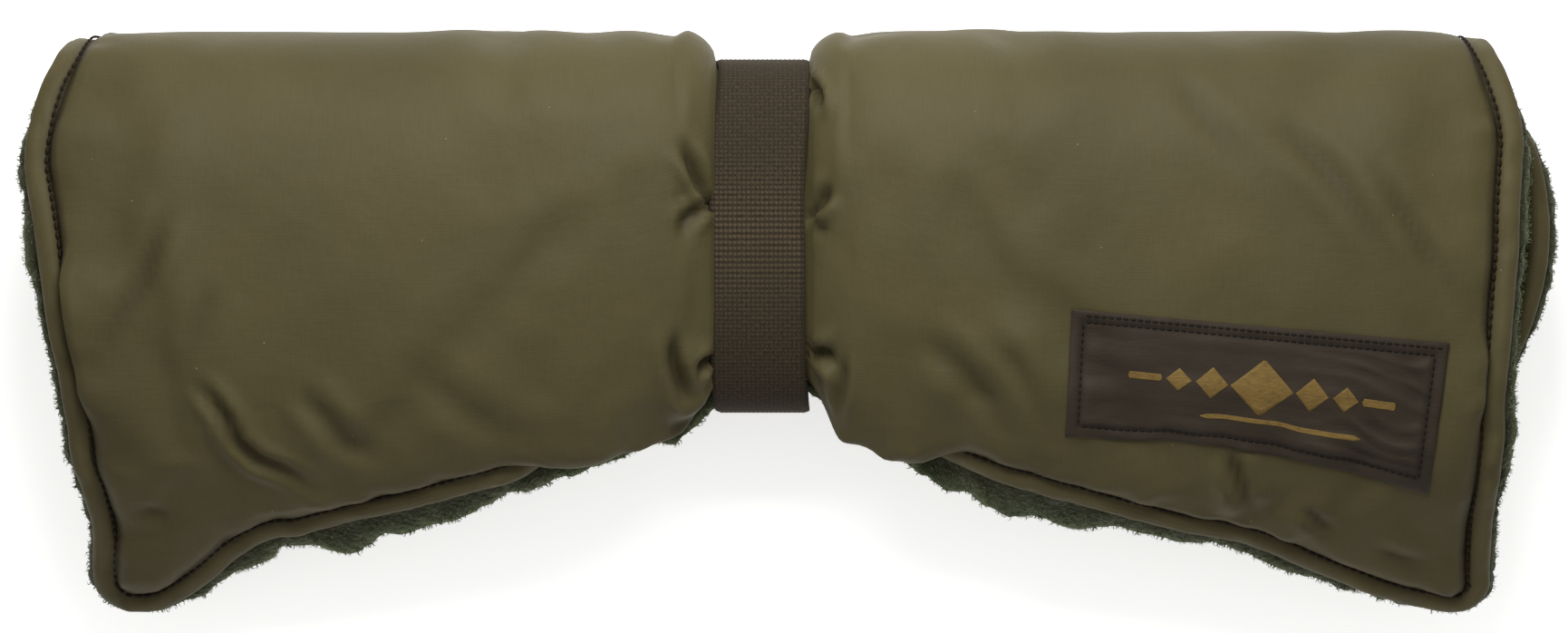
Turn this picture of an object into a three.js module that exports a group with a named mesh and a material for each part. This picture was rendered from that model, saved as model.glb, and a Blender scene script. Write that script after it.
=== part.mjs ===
// Hand warmer muff: a padded three-layer panel rolled 1.3 turns into an open tube, cinched at its middle by
// an elastic band. Millimetres. The muff lies on its back: X runs along the tube, Y points away from the free
// hem, +Z points up out of the front, and z = 0 is the surface that it lies on.
import * as THREE from "three";

const { smoothstep, lerp, degToRad, clamp } = THREE.MathUtils;

// Driving dimensions. "Reach" is a distance along the tube, counted outwards from the band's edge.
const BAND = { width: 25, thick: 1.6, overlap: 30 };
const AXIS_Z = 34; // height of the tube's middle line, and of the two fold axes
const WAIST = { low: -22.1, high: 71.6, half: 22.2, pad: 8.5 };
const END = { low: -45, high: 81, half: 36, pad: 12 };
const LOW_REACH = 110; // the underside of the tube widens over this reach
const SHOULDER = 9; // radius of the shoulders beside the band
const SWELL = 40; // the pad swells from the cinched thickness to the full one over this reach
const SQUARENESS = 2.6; // exponent of the superellipse of the section: 2 is an ellipse

// The roll, in degrees round the section: 90 is the front, 0 the top fold, -90 the back and -180 the bottom
// fold.
const ROLL = { lead: 104, end: -328, lapStart: 112, lapEnd: 215, lapGap: 1.6, steps: 27 };
const FRONT_STEPS = 4; // steps from the fold line of the free corner up to the roll

const SHELL_THICK = 1;
const LAYER_GAP = 0.3;
const BATTING_SHARE = 0.62; // depth of the batting's inner face as a share of the pad

const FOLD_LIMIT = 36; // half angle of the clearance beside the band, just over the 35 degrees of each fold
const FOLD_CLEAR = 0.5;

// Free front edge: the flap folds up about a straight line at this height, and slopes down from it.
const FLAP = { from: 60, tip: 66, height: 56, slope: 36, clear: 0.5, corner: 7 };
const EDGE_AT_WAIST = { y: -20.5, z: 41.5, slope: 68 };

const SIDES = {
  left: {
    sign: -1,
    end: { reach: 189, crown: 45, lean: 0.15 },
    foldEnd: -45,
    hem: { slopeReach: 118, droopReach: 42 },
  },
  right: {
    sign: 1,
    end: { reach: 195, crown: 50, lean: 0.06 },
    foldEnd: -50,
    hem: { slopeReach: 105, droopReach: 73 },
  },
};
const END_ROUND = 0.0088; // curvature of the end hem above its crown
const ROLL_SKEW = 10; // the inner wrap stands this far out of the right end, and is as far inside the left
const HEM = { waist: -24, slope: 33, droop: 24 };

const HEM_EASE = 0.8; // exponent of the hem's slope: below 1 it falls faster beside the waist

// stopShort is where a line of topstitching stops before the fold line, as a share of one step.
const STITCH = { inset: 6.5, width: 0.9, height: 0.6, stopShort: 0.13, flapStart: 0.3 };
const LABEL = {
  corners: [
    [71.5, 4.5],
    [174, -4.7],
    [169, -45.5],
    [70, -29.7],
  ],
  length: 103,
  height: 38,
  thick: 0.8,
  inset: 3.5,
  thread: { width: 0.85, height: 0.4, steps: 6 },
};
// The print's lengths are shares of the label's half length and half height.
const MOTIF = { length: 0.56, bar: 0.04, diamond: 0.34, diamondLength: 0.2, height: 0.3, columns: 12 };
// The bartack is a box of thread over the band's overlap; inset and width are shares of its half size.
const BARTACK = { inset: 0.2, width: 0.08, height: 0.5 };

const fabric = (color, roughness) => new THREE.MeshStandardMaterial({ color, roughness, metalness: 0 });
const MATERIALS = {
  shell: fabric(0x58523a, 0.75),
  batting: fabric(0xd9d6cc, 0.95),
  lining: fabric(0x46553a, 0.95),
  thread: fabric(0x2a2015, 0.8),
  webbing: fabric(0x4b4037, 0.85),
  label: fabric(0x453c34, 0.8),
  print: fabric(0x806d3c, 0.6),
};

const group = new THREE.Group();

function add(name, geometry, material) {
  const mesh = new THREE.Mesh(geometry, material);
  mesh.name = name;
  group.add(mesh);
}

// Section of the roll

const rounded = (t) => Math.sqrt(1 - (1 - clamp(t, 0, 1)) ** 2);

function sectionAt(reach) {
  const low = lerp(WAIST.low, END.low, smoothstep(reach, 0, LOW_REACH));
  const high = lerp(WAIST.high, END.high, rounded(reach / SHOULDER));
  return {
    middle: (low + high) / 2,
    a: (high - low) / 2,
    b: lerp(WAIST.half, END.half, rounded(reach / SWELL)),
    pad: lerp(WAIST.pad, END.pad, smoothstep(reach, 0, SWELL)),
  };
}

const powered = (value) => Math.sign(value) * Math.abs(value) ** (2 / SQUARENESS);
const lapShare = (angle) => smoothstep(-angle, ROLL.lapStart, ROLL.lapEnd);

// A point of the roll as [y, z]. Past the bottom fold the roll dives under its own start by one pad.
function rollPoint(reach, angle, depth) {
  const { middle, a, b, pad } = sectionAt(reach);
  const inside = depth + (pad + ROLL.lapGap) * lapShare(angle);
  const y = middle + (a - inside) * powered(Math.cos(degToRad(angle)));
  const z = AXIS_Z + (b - inside) * powered(Math.sin(degToRad(angle)));
  return [y, Math.max(z, depth)];
}

function endReach(side, y, angle) {
  const { reach, crown, lean } = side.end;
  const drawnIn = y > crown ? END_ROUND * (y - crown) ** 2 : lean * (crown - y);
  return reach - drawnIn + side.sign * ROLL_SKEW * lapShare(angle);
}

// The free front hem: it slopes away from the waist, droops to a low corner and turns up round it.
const cornerReach = (side) => endReach(side, HEM.waist - HEM.slope - HEM.droop, 0);

function hemY(side, reach) {
  const { slopeReach, droopReach } = side.hem;
  const sloping = HEM.slope * clamp(reach / slopeReach, 0, 1) ** HEM_EASE;
  const droop = HEM.droop * smoothstep(reach, slopeReach, slopeReach + droopReach);
  const past = clamp((reach - cornerReach(side) + FLAP.corner) / FLAP.corner, 0, 1);
  return HEM.waist - sloping - droop + FLAP.corner * (1 - Math.sqrt(1 - past ** 2));
}

// The free corner folds about a straight line that starts on the hem.
const foldLineY = (side, reach) =>
  lerp(hemY(side, FLAP.from), side.foldEnd, (reach - FLAP.from) / (side.end.reach - FLAP.from));

// Where the front wrap of the roll stops: at the free hem near the band, and beyond that at the fold line.
function frontStop(side, reach) {
  const share = smoothstep(reach, 0, FLAP.from);
  const tuck = (EDGE_AT_WAIST.y - HEM.waist) * (1 - share);
  return {
    y: reach > FLAP.from ? foldLineY(side, reach) : hemY(side, reach) + tuck,
    z: lerp(EDGE_AT_WAIST.z, FLAP.height, share),
    slope: degToRad(lerp(EDGE_AT_WAIST.slope, FLAP.slope, share)),
  };
}

// A point between the roll (share 0) and the fold line (share 1), on a cubic that leaves the roll smoothly.
function frontPoint(side, reach, share, depth) {
  const [ay, az] = rollPoint(reach, ROLL.lead, 0);
  const [by, bz] = rollPoint(reach, ROLL.lead + 1, 0);
  const stop = frontStop(side, reach);
  const leave = new THREE.Vector2(by - ay, bz - az).normalize();
  const arrive = new THREE.Vector2(-Math.cos(stop.slope), -Math.sin(stop.slope));
  const start = new THREE.Vector2(ay, az);
  const finish = new THREE.Vector2(stop.y, stop.z);
  const pull = start.distanceTo(finish) / 3;
  const curve = new THREE.CubicBezierCurve(
    start,
    start.clone().addScaledVector(leave, pull),
    finish.clone().addScaledVector(arrive, -pull),
    finish,
  );
  const [iy, iz] = rollPoint(reach, ROLL.lead, 1);
  const inward = new THREE.Vector2(iy - ay, iz - az).normalize();
  inward.lerp(new THREE.Vector2(Math.sin(stop.slope), -Math.cos(stop.slope)), share).normalize();
  const point = curve.getPoint(share).addScaledVector(inward, depth);
  return [point.x, point.y];
}

// The whole wrap from the fold line (step 0) to the hidden inner edge.
const WRAP_STEPS = FRONT_STEPS + ROLL.steps;
const angleOf = (step) => lerp(ROLL.lead, ROLL.end, Math.max(step - FRONT_STEPS, 0) / ROLL.steps);

function wrapPoint(side, reach, step, depth) {
  return step < FRONT_STEPS
    ? frontPoint(side, reach, 1 - step / FRONT_STEPS, depth)
    : rollPoint(reach, angleOf(step), depth);
}

const place = (side, reach, y, z) =>
  new THREE.Vector3(side.sign * (BAND.width / 2 + reach), y, z);

// Solids

// A closed slab between two grids of points with the same rows and columns.
function slab(top, bottom, flip = false) {
  const rows = top.length;
  const columns = top[0].length;
  const points = [...top.flat(), ...bottom.flat()];
  const index = [];
  const at = (layer, i, j) => layer * rows * columns + i * columns + j;
  const quad = (a, b, c, d) => index.push(a, b, c, a, c, d);
  for (let i = 0; i < rows - 1; i++) {
    for (let j = 0; j < columns - 1; j++) {
      quad(at(0, i, j), at(0, i + 1, j), at(0, i + 1, j + 1), at(0, i, j + 1));
      quad(at(1, i, j), at(1, i, j + 1), at(1, i + 1, j + 1), at(1, i + 1, j));
    }
  }
  for (let i = 0; i < rows - 1; i++) {
    quad(at(0, i, 0), at(1, i, 0), at(1, i + 1, 0), at(0, i + 1, 0));
    const last = columns - 1;
    quad(at(0, i, last), at(0, i + 1, last), at(1, i + 1, last), at(1, i, last));
  }
  for (let j = 0; j < columns - 1; j++) {
    quad(at(0, 0, j), at(0, 0, j + 1), at(1, 0, j + 1), at(1, 0, j));
    const last = rows - 1;
    quad(at(0, last, j), at(1, last, j), at(1, last, j + 1), at(0, last, j + 1));
  }
  if (flip) {
    for (let i = 0; i < index.length; i += 3) {
      [index[i + 1], index[i + 2]] = [index[i + 2], index[i + 1]];
    }
  }
  const geometry = new THREE.BufferGeometry().setFromPoints(points);
  geometry.setIndex(index);
  geometry.computeVertexNormals();
  return geometry;
}

const grid = (rows, columns, point) =>
  Array.from({ length: rows + 1 }, (_, i) => Array.from({ length: columns + 1 }, (_, j) => point(i, j)));

// Depths of a layer's outer and inner face for a pad of this thickness.
const LAYERS = {
  shell: () => [0, SHELL_THICK],
  batting: (pad) => [SHELL_THICK + LAYER_GAP, BATTING_SHARE * pad - LAYER_GAP / 2],
  lining: (pad) => [BATTING_SHARE * pad + LAYER_GAP / 2, pad],
};

// Halves

const MIDDLE_STATIONS = [60, 100, 145];

// The wedge of clearance beside the band lets a half fold about the axis at the band's edge. The section that
// the wedge is measured on changes with the reach, so the reach is found in a few passes.
const WEDGE_PASSES = 4;
function startReach(side, step) {
  let reach = 0;
  for (let pass = 0; pass < WEDGE_PASSES; pass++) {
    const z = wrapPoint(side, reach, step, 0)[1];
    reach = FOLD_CLEAR + Math.abs(z - AXIS_Z) * Math.tan(degToRad(FOLD_LIMIT));
  }
  return reach;
}

function stationReach(side, station, step) {
  if (station === 0) return startReach(side, step);
  if (station <= MIDDLE_STATIONS.length) return MIDDLE_STATIONS[station - 1];
  const y = wrapPoint(side, side.end.reach, step, 0)[0];
  return endReach(side, y, angleOf(step));
}

function halfLayer(side, layer) {
  const face = (which) =>
    grid(WRAP_STEPS, MIDDLE_STATIONS.length + 1, (step, station) => {
      const reach = stationReach(side, station, step);
      const depth = LAYERS[layer](sectionAt(reach).pad)[which];
      return place(side, reach, ...wrapPoint(side, reach, step, depth));
    });
  return slab(face(0), face(1), side.sign > 0);
}

// Free corners: flat three-layer plates that slope down from the fold line.

const FLAP_STATIONS = 10;
const FLAP_ROWS = 2;
const FLAP_SPREAD = 0.8; // exponent of the stations' spacing: below 1 they are closer towards the outer end
const OUTER_PART = 0.5; // the part of a free corner, along it, that follows the slant of the end hem
const INSET_FROM = 0.6; // a line inset from the hem is also inset from the end past this share

// share 0 is the fold line and 1 the free hem; along 0 is the tip near the waist and 1 the outer end.
function flapPoint(side, along, share, depth, inset = 0) {
  const outer = cornerReach(side);
  const spread = lerp(FLAP.tip, outer, along ** FLAP_SPREAD) - inset * smoothstep(along, INSET_FROM, 1);
  const foldY = foldLineY(side, spread) - FLAP.clear;
  const y = lerp(foldY, hemY(side, spread) + inset, share);
  const reach = spread + (endReach(side, y, 0) - outer) * smoothstep(along, OUTER_PART, 1);
  const line = foldLineY(side, reach);
  const slope = degToRad(FLAP.slope);
  return place(
    side,
    reach,
    y + depth * Math.sin(slope),
    FLAP.height - (line - y) * Math.tan(slope) - depth * Math.cos(slope),
  );
}

function flapLayer(side, layer) {
  const depths = LAYERS[layer](END.pad);
  const face = (which) =>
    grid(FLAP_ROWS, FLAP_STATIONS, (row, station) =>
      flapPoint(side, station / FLAP_STATIONS, row / FLAP_ROWS, depths[which]),
    );
  return slab(face(0), face(1), side.sign < 0);
}

// Waist: the cinched middle of the same three layers, held by the band. Its ends are flat, at the fold axes.

function waistLayer(layer) {
  const depths = LAYERS[layer](WAIST.pad);
  const ends = [-1, 1];
  const face = (which) =>
    grid(WRAP_STEPS, 1, (step, end) => {
      const [y, z] = wrapPoint(SIDES.right, 0, step, depths[which]);
      return new THREE.Vector3((ends[end] * BAND.width) / 2, y, z);
    });
  return slab(face(0), face(1), true);
}

// A strip that lies round the waist's section between two angles, from one height above the shell to another.
function waistStrip(from, to, steps, halfWidth, low, high) {
  const face = (height) =>
    grid(steps, 1, (step, end) => {
      const angle = lerp(from, to, step / steps);
      const { middle, a, b } = sectionAt(0);
      const y = middle + (a + height) * powered(Math.cos(degToRad(angle)));
      const z = AXIS_Z + (b + height) * powered(Math.sin(degToRad(angle)));
      return new THREE.Vector3((end ? 1 : -1) * halfWidth, y, z);
    });
  return [face(high), face(low)];
}

const BAND_STEPS = 40;
const BAND_FLOAT = 0.4; // the band's clearance round the shell

// A closed ring from four loops of points: round the loops, and round each loop's own points.
function ringOf(loops) {
  const count = loops[0].length;
  const index = [];
  for (let r = 0; r < 4; r++) {
    for (let i = 0; i < count; i++) {
      const a = r * count + i;
      const b = r * count + ((i + 1) % count);
      const c = ((r + 1) % 4) * count + ((i + 1) % count);
      const d = ((r + 1) % 4) * count + i;
      index.push(a, c, b, a, d, c);
    }
  }
  const geometry = new THREE.BufferGeometry().setFromPoints(loops.flat());
  geometry.setIndex(index);
  geometry.computeVertexNormals();
  return geometry;
}

function bandLoop() {
  const faces = waistStrip(0, 360, BAND_STEPS, BAND.width / 2, BAND_FLOAT, BAND_FLOAT + BAND.thick);
  const [outer, inner] = faces.map((face) => face.slice(0, BAND_STEPS));
  const edge = (face, end) => face.map((pair) => pair[end]);
  return ringOf([edge(inner, 0), edge(inner, 1), edge(outer, 1), edge(outer, 0)]);
}

// The loop's two ends lap at the back, where a bartack holds them.
const OVERLAP = { from: -105, to: -75, steps: 4 };
const overlapLow = BAND_FLOAT + BAND.thick + LAYER_GAP;
const overlapHigh = overlapLow + BAND.thick;

// A closed rectangular thread line on a surface given by point(u, v, height), with u and v from -1 to 1.
// The inset and width are pairs of shares, along u and v.
function threadFrame(point, inset, width, [low, high], steps) {
  const loop = [];
  const side = (fromU, fromV, toU, toV) => {
    for (let i = 0; i < steps; i++) {
      loop.push([lerp(fromU, toU, i / steps), lerp(fromV, toV, i / steps)]);
    }
  };
  side(-1, -1, 1, -1);
  side(1, -1, 1, 1);
  side(1, 1, -1, 1);
  side(-1, 1, -1, -1);
  const ring = (extra, height) =>
    loop.map(([u, v]) => {
      const across = 1 - inset[0] - extra * width[0];
      const down = 1 - inset[1] - extra * width[1];
      return point(u * across, v * down, height);
    });
  return ringOf([ring(0, high), ring(1, high), ring(1, low), ring(0, low)]);
}

function bartackPoint(u, v, height) {
  const { middle, b } = sectionAt(0);
  return new THREE.Vector3((u * BAND.width) / 2, middle + (v * BAND.overlap) / 2, AXIS_Z - b - height);
}

// Topstitching, as one continuous raised line of thread inside the hem

function ribbon(path, flip) {
  const face = (height) =>
    path.map(({ at, across, up }) =>
      [-1, 1].map((sign) =>
        at
          .clone()
          .addScaledVector(across, (sign * STITCH.width) / 2)
          .addScaledVector(up, height),
      ),
    );
  return slab(face(LAYER_GAP + STITCH.height), face(LAYER_GAP), flip);
}

// Along the end of a half: from the fold line over the front and round the top fold.
const END_STITCH_LAST = 12;

function endStitch(side) {
  const path = [];
  for (let count = 0; count <= END_STITCH_LAST; count++) {
    const step = Math.max(count, FRONT_STEPS * STITCH.stopShort);
    const spot = (nudge) => {
      const y = wrapPoint(side, side.end.reach, step, 0)[0];
      const reach = endReach(side, y, angleOf(step)) - STITCH.inset + nudge;
      return place(side, reach, ...wrapPoint(side, reach, step, 0));
    };
    const at = spot(0);
    const across = spot(0.5).sub(at).normalize();
    const [y, z] = wrapPoint(side, side.end.reach - STITCH.inset, step, -1);
    const up = new THREE.Vector3(at.x, y, z).sub(at).normalize();
    path.push({ at, across, up });
  }
  return ribbon(path, side.sign > 0);
}

// On a free corner: along the hem from near its tip, round the corner and up the end to the fold line.
const HEM_SPOTS = 7;
const END_SPOTS = 3;

function flapStitch(side) {
  const points = [];
  for (let i = 0; i <= HEM_SPOTS; i++) points.push([lerp(STITCH.flapStart, 1, i / HEM_SPOTS), 1]);
  for (let i = 1; i <= END_SPOTS; i++) points.push([1, lerp(1, STITCH.stopShort, i / END_SPOTS)]);
  const spots = points.map(([along, share]) => flapPoint(side, along, share, 0, STITCH.inset));
  const up = flapPoint(side, 0.5, 0.5, -1).sub(flapPoint(side, 0.5, 0.5, 0)).normalize();
  const path = spots.map((at, i) => {
    const before = spots[Math.max(i - 1, 0)];
    const after = spots[Math.min(i + 1, spots.length - 1)];
    const forward = after.clone().sub(before).normalize();
    return { at, across: forward.clone().cross(up).normalize(), up };
  });
  return ribbon(path, true);
}

// Label on the right half's front

const LABEL_COLUMNS = 10;
const LABEL_ROWS = 8;

// Height of the front's outer face at a reach and y, read off a fine polyline of the section.
const FINE = { front: 12, angle: 3, last: 45 };

function frontHeight(side, reach, y) {
  const fine = [];
  for (let i = 0; i <= FINE.front; i++) fine.push(frontPoint(side, reach, 1 - i / FINE.front, 0));
  for (let angle = ROLL.lead - FINE.angle; angle > FINE.last; angle -= FINE.angle) {
    fine.push(rollPoint(reach, angle, 0));
  }
  const above = fine.findIndex((point) => point[0] >= y);
  const [y0, z0] = fine[above - 1];
  const [y1, z1] = fine[above];
  return lerp(z0, z1, (y - y0) / (y1 - y0));
}

// u runs along the label and v down it, both from -1 to 1.
function labelPoint(u, v, height) {
  const [topIn, topOut, lowOut, lowIn] = LABEL.corners;
  const mix = (k) =>
    lerp(lerp(topIn[k], topOut[k], (u + 1) / 2), lerp(lowIn[k], lowOut[k], (u + 1) / 2), (v + 1) / 2);
  const reach = mix(0);
  const y = mix(1);
  return place(SIDES.right, reach, y, frontHeight(SIDES.right, reach, y) + height);
}

function labelPatch() {
  const face = (height) =>
    grid(LABEL_ROWS, LABEL_COLUMNS, (row, column) =>
      labelPoint((2 * column) / LABEL_COLUMNS - 1, (2 * row) / LABEL_ROWS - 1, height),
    );
  return slab(face(LAYER_GAP + LABEL.thick), face(LAYER_GAP));
}

// The print: a plain bar that widens to a diamond at its middle.
function labelMotif() {
  const { columns } = MOTIF;
  const low = 2 * LAYER_GAP + LABEL.thick;
  const face = (height) =>
    grid(2, columns, (row, column) => {
      const u = ((2 * column) / columns - 1) * MOTIF.length;
      const widened = MOTIF.diamond * clamp(1 - Math.abs(u) / MOTIF.diamondLength, 0, 1);
      return labelPoint(u, (row - 1) * Math.max(MOTIF.bar, widened), height);
    });
  return slab(face(low + MOTIF.height), face(low));
}

for (const [name, side] of Object.entries(SIDES)) {
  for (const layer of Object.keys(LAYERS)) {
    add(`${name}_${layer}`, halfLayer(side, layer), MATERIALS[layer]);
    add(`${name}_flap_${layer}`, flapLayer(side, layer), MATERIALS[layer]);
  }
  add(`${name}_stitching`, endStitch(side), MATERIALS.thread);
  add(`${name}_flap_stitching`, flapStitch(side), MATERIALS.thread);
}

for (const layer of Object.keys(LAYERS)) {
  add(`waist_${layer}`, waistLayer(layer), MATERIALS[layer]);
}
add("waist_band", bandLoop(), MATERIALS.webbing);
const { from, to, steps } = OVERLAP;
const overlapFaces = waistStrip(from, to, steps, BAND.width / 2, overlapLow, overlapHigh);
add("band_overlap", slab(...overlapFaces), MATERIALS.webbing);
const bartackLow = overlapHigh + LAYER_GAP;
const bartack = threadFrame(
  bartackPoint,
  [BARTACK.inset, BARTACK.inset],
  [BARTACK.width, BARTACK.width],
  [bartackLow, bartackLow + BARTACK.height],
  1,
);
add("band_bartack", bartack, MATERIALS.thread);

add("label_patch", labelPatch(), MATERIALS.label);
const labelSeamLow = LAYER_GAP + LABEL.thick + LAYER_GAP;
const labelShare = (size) => [(2 * size) / LABEL.length, (2 * size) / LABEL.height];
const labelSeam = threadFrame(
  labelPoint,
  labelShare(LABEL.inset),
  labelShare(LABEL.thread.width),
  [labelSeamLow, labelSeamLow + LABEL.thread.height],
  LABEL.thread.steps,
);
add("label_stitching", labelSeam, MATERIALS.thread);
add("label_motif", labelMotif(), MATERIALS.print);

// The origin is at the middle of the muff's footprint.
const box = new THREE.Box3().setFromObject(group);
group.position.set(-(box.min.x + box.max.x) / 2, -(box.min.y + box.max.y) / 2, 0);

export default group;
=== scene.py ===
import math

import bpy
import numpy as np
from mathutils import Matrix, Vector
from mathutils.bvhtree import BVHTree
from mathutils.kdtree import KDTree


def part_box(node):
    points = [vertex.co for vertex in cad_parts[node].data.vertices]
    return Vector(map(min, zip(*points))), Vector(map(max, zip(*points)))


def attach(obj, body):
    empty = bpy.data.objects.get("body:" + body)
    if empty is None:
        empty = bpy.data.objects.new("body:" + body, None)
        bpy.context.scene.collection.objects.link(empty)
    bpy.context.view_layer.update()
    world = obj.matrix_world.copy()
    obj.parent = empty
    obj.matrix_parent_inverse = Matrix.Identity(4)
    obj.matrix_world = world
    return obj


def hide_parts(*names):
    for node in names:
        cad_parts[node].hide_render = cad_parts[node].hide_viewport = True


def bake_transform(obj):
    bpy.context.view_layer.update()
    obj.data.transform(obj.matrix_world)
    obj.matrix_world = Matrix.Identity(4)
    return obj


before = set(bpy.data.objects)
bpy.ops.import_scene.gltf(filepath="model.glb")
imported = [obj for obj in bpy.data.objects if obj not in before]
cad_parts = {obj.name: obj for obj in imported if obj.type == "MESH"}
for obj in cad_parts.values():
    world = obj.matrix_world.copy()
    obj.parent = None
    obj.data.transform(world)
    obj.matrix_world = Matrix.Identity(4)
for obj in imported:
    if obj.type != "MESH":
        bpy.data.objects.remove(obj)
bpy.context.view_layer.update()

# Hand warmer muff: the fabric, pile, stitching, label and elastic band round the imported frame. The shape is worked
# out in millimetres in the muff's own coordinates, with x = 0 at the middle of the band, y = 0 and z = 0 as in the
# frame's source, and turned into metres in the frame's coordinates when a piece is made.
MM = 0.001
UV_PER_MM = 0.01
SEED = 11

# Section of the roll: the same driving dimensions as the frame's
BAND_WIDTH, BAND_THICK, BAND_FLOAT = 25.0, 1.6, 0.4
AXIS_Z = 34.0
WAIST = {"low": -22.1, "high": 71.6, "half": 22.2, "pad": 8.5}
END = {"low": -45.0, "high": 81.0, "half": 36.0, "pad": 12.0}
LOW_REACH, SHOULDER, SWELL = 110.0, 9.0, 40.0
SQUARENESS = 2.6
LEAD, LAST = 104.0, -328.0
LAP_START, LAP_END, LAP_GAP = 112.0, 215.0, 1.6
FLAP_FROM, FLAP_Z, FLAP_SLOPE, CORNER = 60.0, 56.0, 36.0, 7.0
CORNER_STOP = 0.94
EDGE_AT_WAIST = {"y": -20.5, "z": 41.5, "slope": 68.0}
END_ROUND, ROLL_SKEW, INNER_MIDDLE = 0.0088, 10.0, 22.0
HEM = {"waist": -24.0, "slope": 33.0, "droop": 24.0}
SIDES = {
    "left": {
        "sign": -1,
        "reach": 189.0,
        "crown": 45.0,
        "lean": 0.15,
        "inner_round": 0.0,
        "fold_end": -45.0,
        "slope_reach": 118.0,
        "droop_reach": 42.0,
    },
    "right": {
        "sign": 1,
        "reach": 195.0,
        "crown": 50.0,
        "lean": 0.06,
        "inner_round": 0.0055,
        "fold_end": -50.0,
        "slope_reach": 105.0,
        "droop_reach": 73.0,
    },
}

band_low, band_high = (np.array(corner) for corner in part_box("waist_band"))
band_middle = (band_low + band_high) / 2
SHIFT = np.array([band_middle[0], band_middle[1] - (WAIST["low"] + WAIST["high"]) / 2 * MM, 0.0])


# Numbers


def lerp(a, b, t):
    return a + (b - a) * t


def along_line(points):
    """Distance of each point along a polyline."""
    return np.concatenate([[0], np.cumsum(np.linalg.norm(np.diff(points, axis=0), axis=1))])


def read_at(s, along, values):
    """Each column of the values, interpolated at the distances s."""
    return np.stack([np.interp(s, along, column) for column in np.transpose(values)], -1)


def smooth(x, a, b):
    t = np.clip((x - a) / (b - a), 0.0, 1.0)
    return t * t * (3 - 2 * t)


def rounded(t):
    return np.sqrt(1 - (1 - np.clip(t, 0.0, 1.0)) ** 2)


def unit(v):
    return v / np.maximum(np.linalg.norm(v, axis=-1, keepdims=True), 1e-9)


def cell_random(cells, seed):
    """A repeatable random number from 0 to 1 for each integer cell."""
    h = (cells[..., 0] * 73856093) ^ (cells[..., 1] * 19349663) ^ (cells[..., 2] * 83492791) ^ (seed * 2654435761)
    h = (h ^ (h >> 13)) * 1274126177
    h = (h ^ (h >> 16)) & 0xFFFFFF
    return h / float(0xFFFFFF)


def value_noise(points, size, seed=0):
    """Smooth noise from -1 to 1 with features of this size."""
    p = points / size
    base = np.floor(p).astype(np.int64)
    f = p - base
    f = f * f * (3 - 2 * f)
    total = 0
    for dx in (0, 1):
        for dy in (0, 1):
            for dz in (0, 1):
                corner = base + np.array([dx, dy, dz])
                share = (
                    (f[..., 0] if dx else 1 - f[..., 0])
                    * (f[..., 1] if dy else 1 - f[..., 1])
                    * (f[..., 2] if dz else 1 - f[..., 2])
                )
                total = total + share * cell_random(corner, seed)
    return total * 2 - 1


def tufts(points, size, seed=0):
    """Rounded bumps from 0 to 1, one round each of a jittered lattice of centres: the curls of the pile."""
    p = points / size
    base = np.floor(p).astype(np.int64)
    near = np.full(p.shape[:-1], 9.0)
    for dx in (-1, 0, 1):
        for dy in (-1, 0, 1):
            for dz in (-1, 0, 1):
                cell = base + np.array([dx, dy, dz])
                centre = np.stack([cell_random(cell, seed + k) for k in (1, 2, 3)], -1)
                near = np.minimum(near, ((cell + centre - p) ** 2).sum(-1))
    return np.clip(1 - near, 0.0, 1.0)


# Section of the roll


def section(reach):
    low = lerp(WAIST["low"], END["low"], smooth(reach, 0, LOW_REACH))
    high = lerp(WAIST["high"], END["high"], rounded(reach / SHOULDER))
    half = lerp(WAIST["half"], END["half"], rounded(reach / SWELL))
    pad = lerp(WAIST["pad"], END["pad"], smooth(reach, 0, SWELL))
    return (low + high) / 2, (high - low) / 2, half, pad


def powered(v):
    return np.sign(v) * np.abs(v) ** (2 / SQUARENESS)


def lap_share(angle):
    return smooth(-angle, LAP_START, LAP_END)


def roll_point(reach, angle, depth=0.0):
    """A point of the roll. Past the bottom fold the roll dives under its own start by one pad."""
    middle, a, b, pad = section(reach)
    inside = depth + (pad + LAP_GAP) * lap_share(angle)
    y = middle + (a - inside) * powered(np.cos(np.radians(angle)))
    z = AXIS_Z + (b - inside) * powered(np.sin(np.radians(angle)))
    return np.stack([y, np.maximum(z, depth)], -1)


def end_reach(side, y, angle):
    crown = side["crown"]
    drawn_in = np.where(y > crown, END_ROUND * (y - crown) ** 2, side["lean"] * (crown - y))
    inner = np.maximum(side["sign"] * ROLL_SKEW - side["inner_round"] * (y - INNER_MIDDLE) ** 2, -ROLL_SKEW)
    return side["reach"] - drawn_in + inner * lap_share(angle)


def corner_reach(side):
    return float(end_reach(side, HEM["waist"] - HEM["slope"] - HEM["droop"], 0.0))


def hem_y(side, reach):
    """The free hem: it slopes away from the waist, droops to a low corner and turns up round it."""
    sloping = HEM["slope"] * np.clip(reach / side["slope_reach"], 0, 1) ** 0.8
    droop = HEM["droop"] * smooth(reach, side["slope_reach"], side["slope_reach"] + side["droop_reach"])
    past = np.clip((reach - corner_reach(side) + CORNER) / CORNER, 0, CORNER_STOP)
    return HEM["waist"] - sloping - droop + CORNER * (1 - np.sqrt(1 - past**2))


def fold_line_y(side, reach):
    start = float(hem_y(side, np.float64(FLAP_FROM)))
    return lerp(start, side["fold_end"], (reach - FLAP_FROM) / (side["reach"] - FLAP_FROM))


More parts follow.
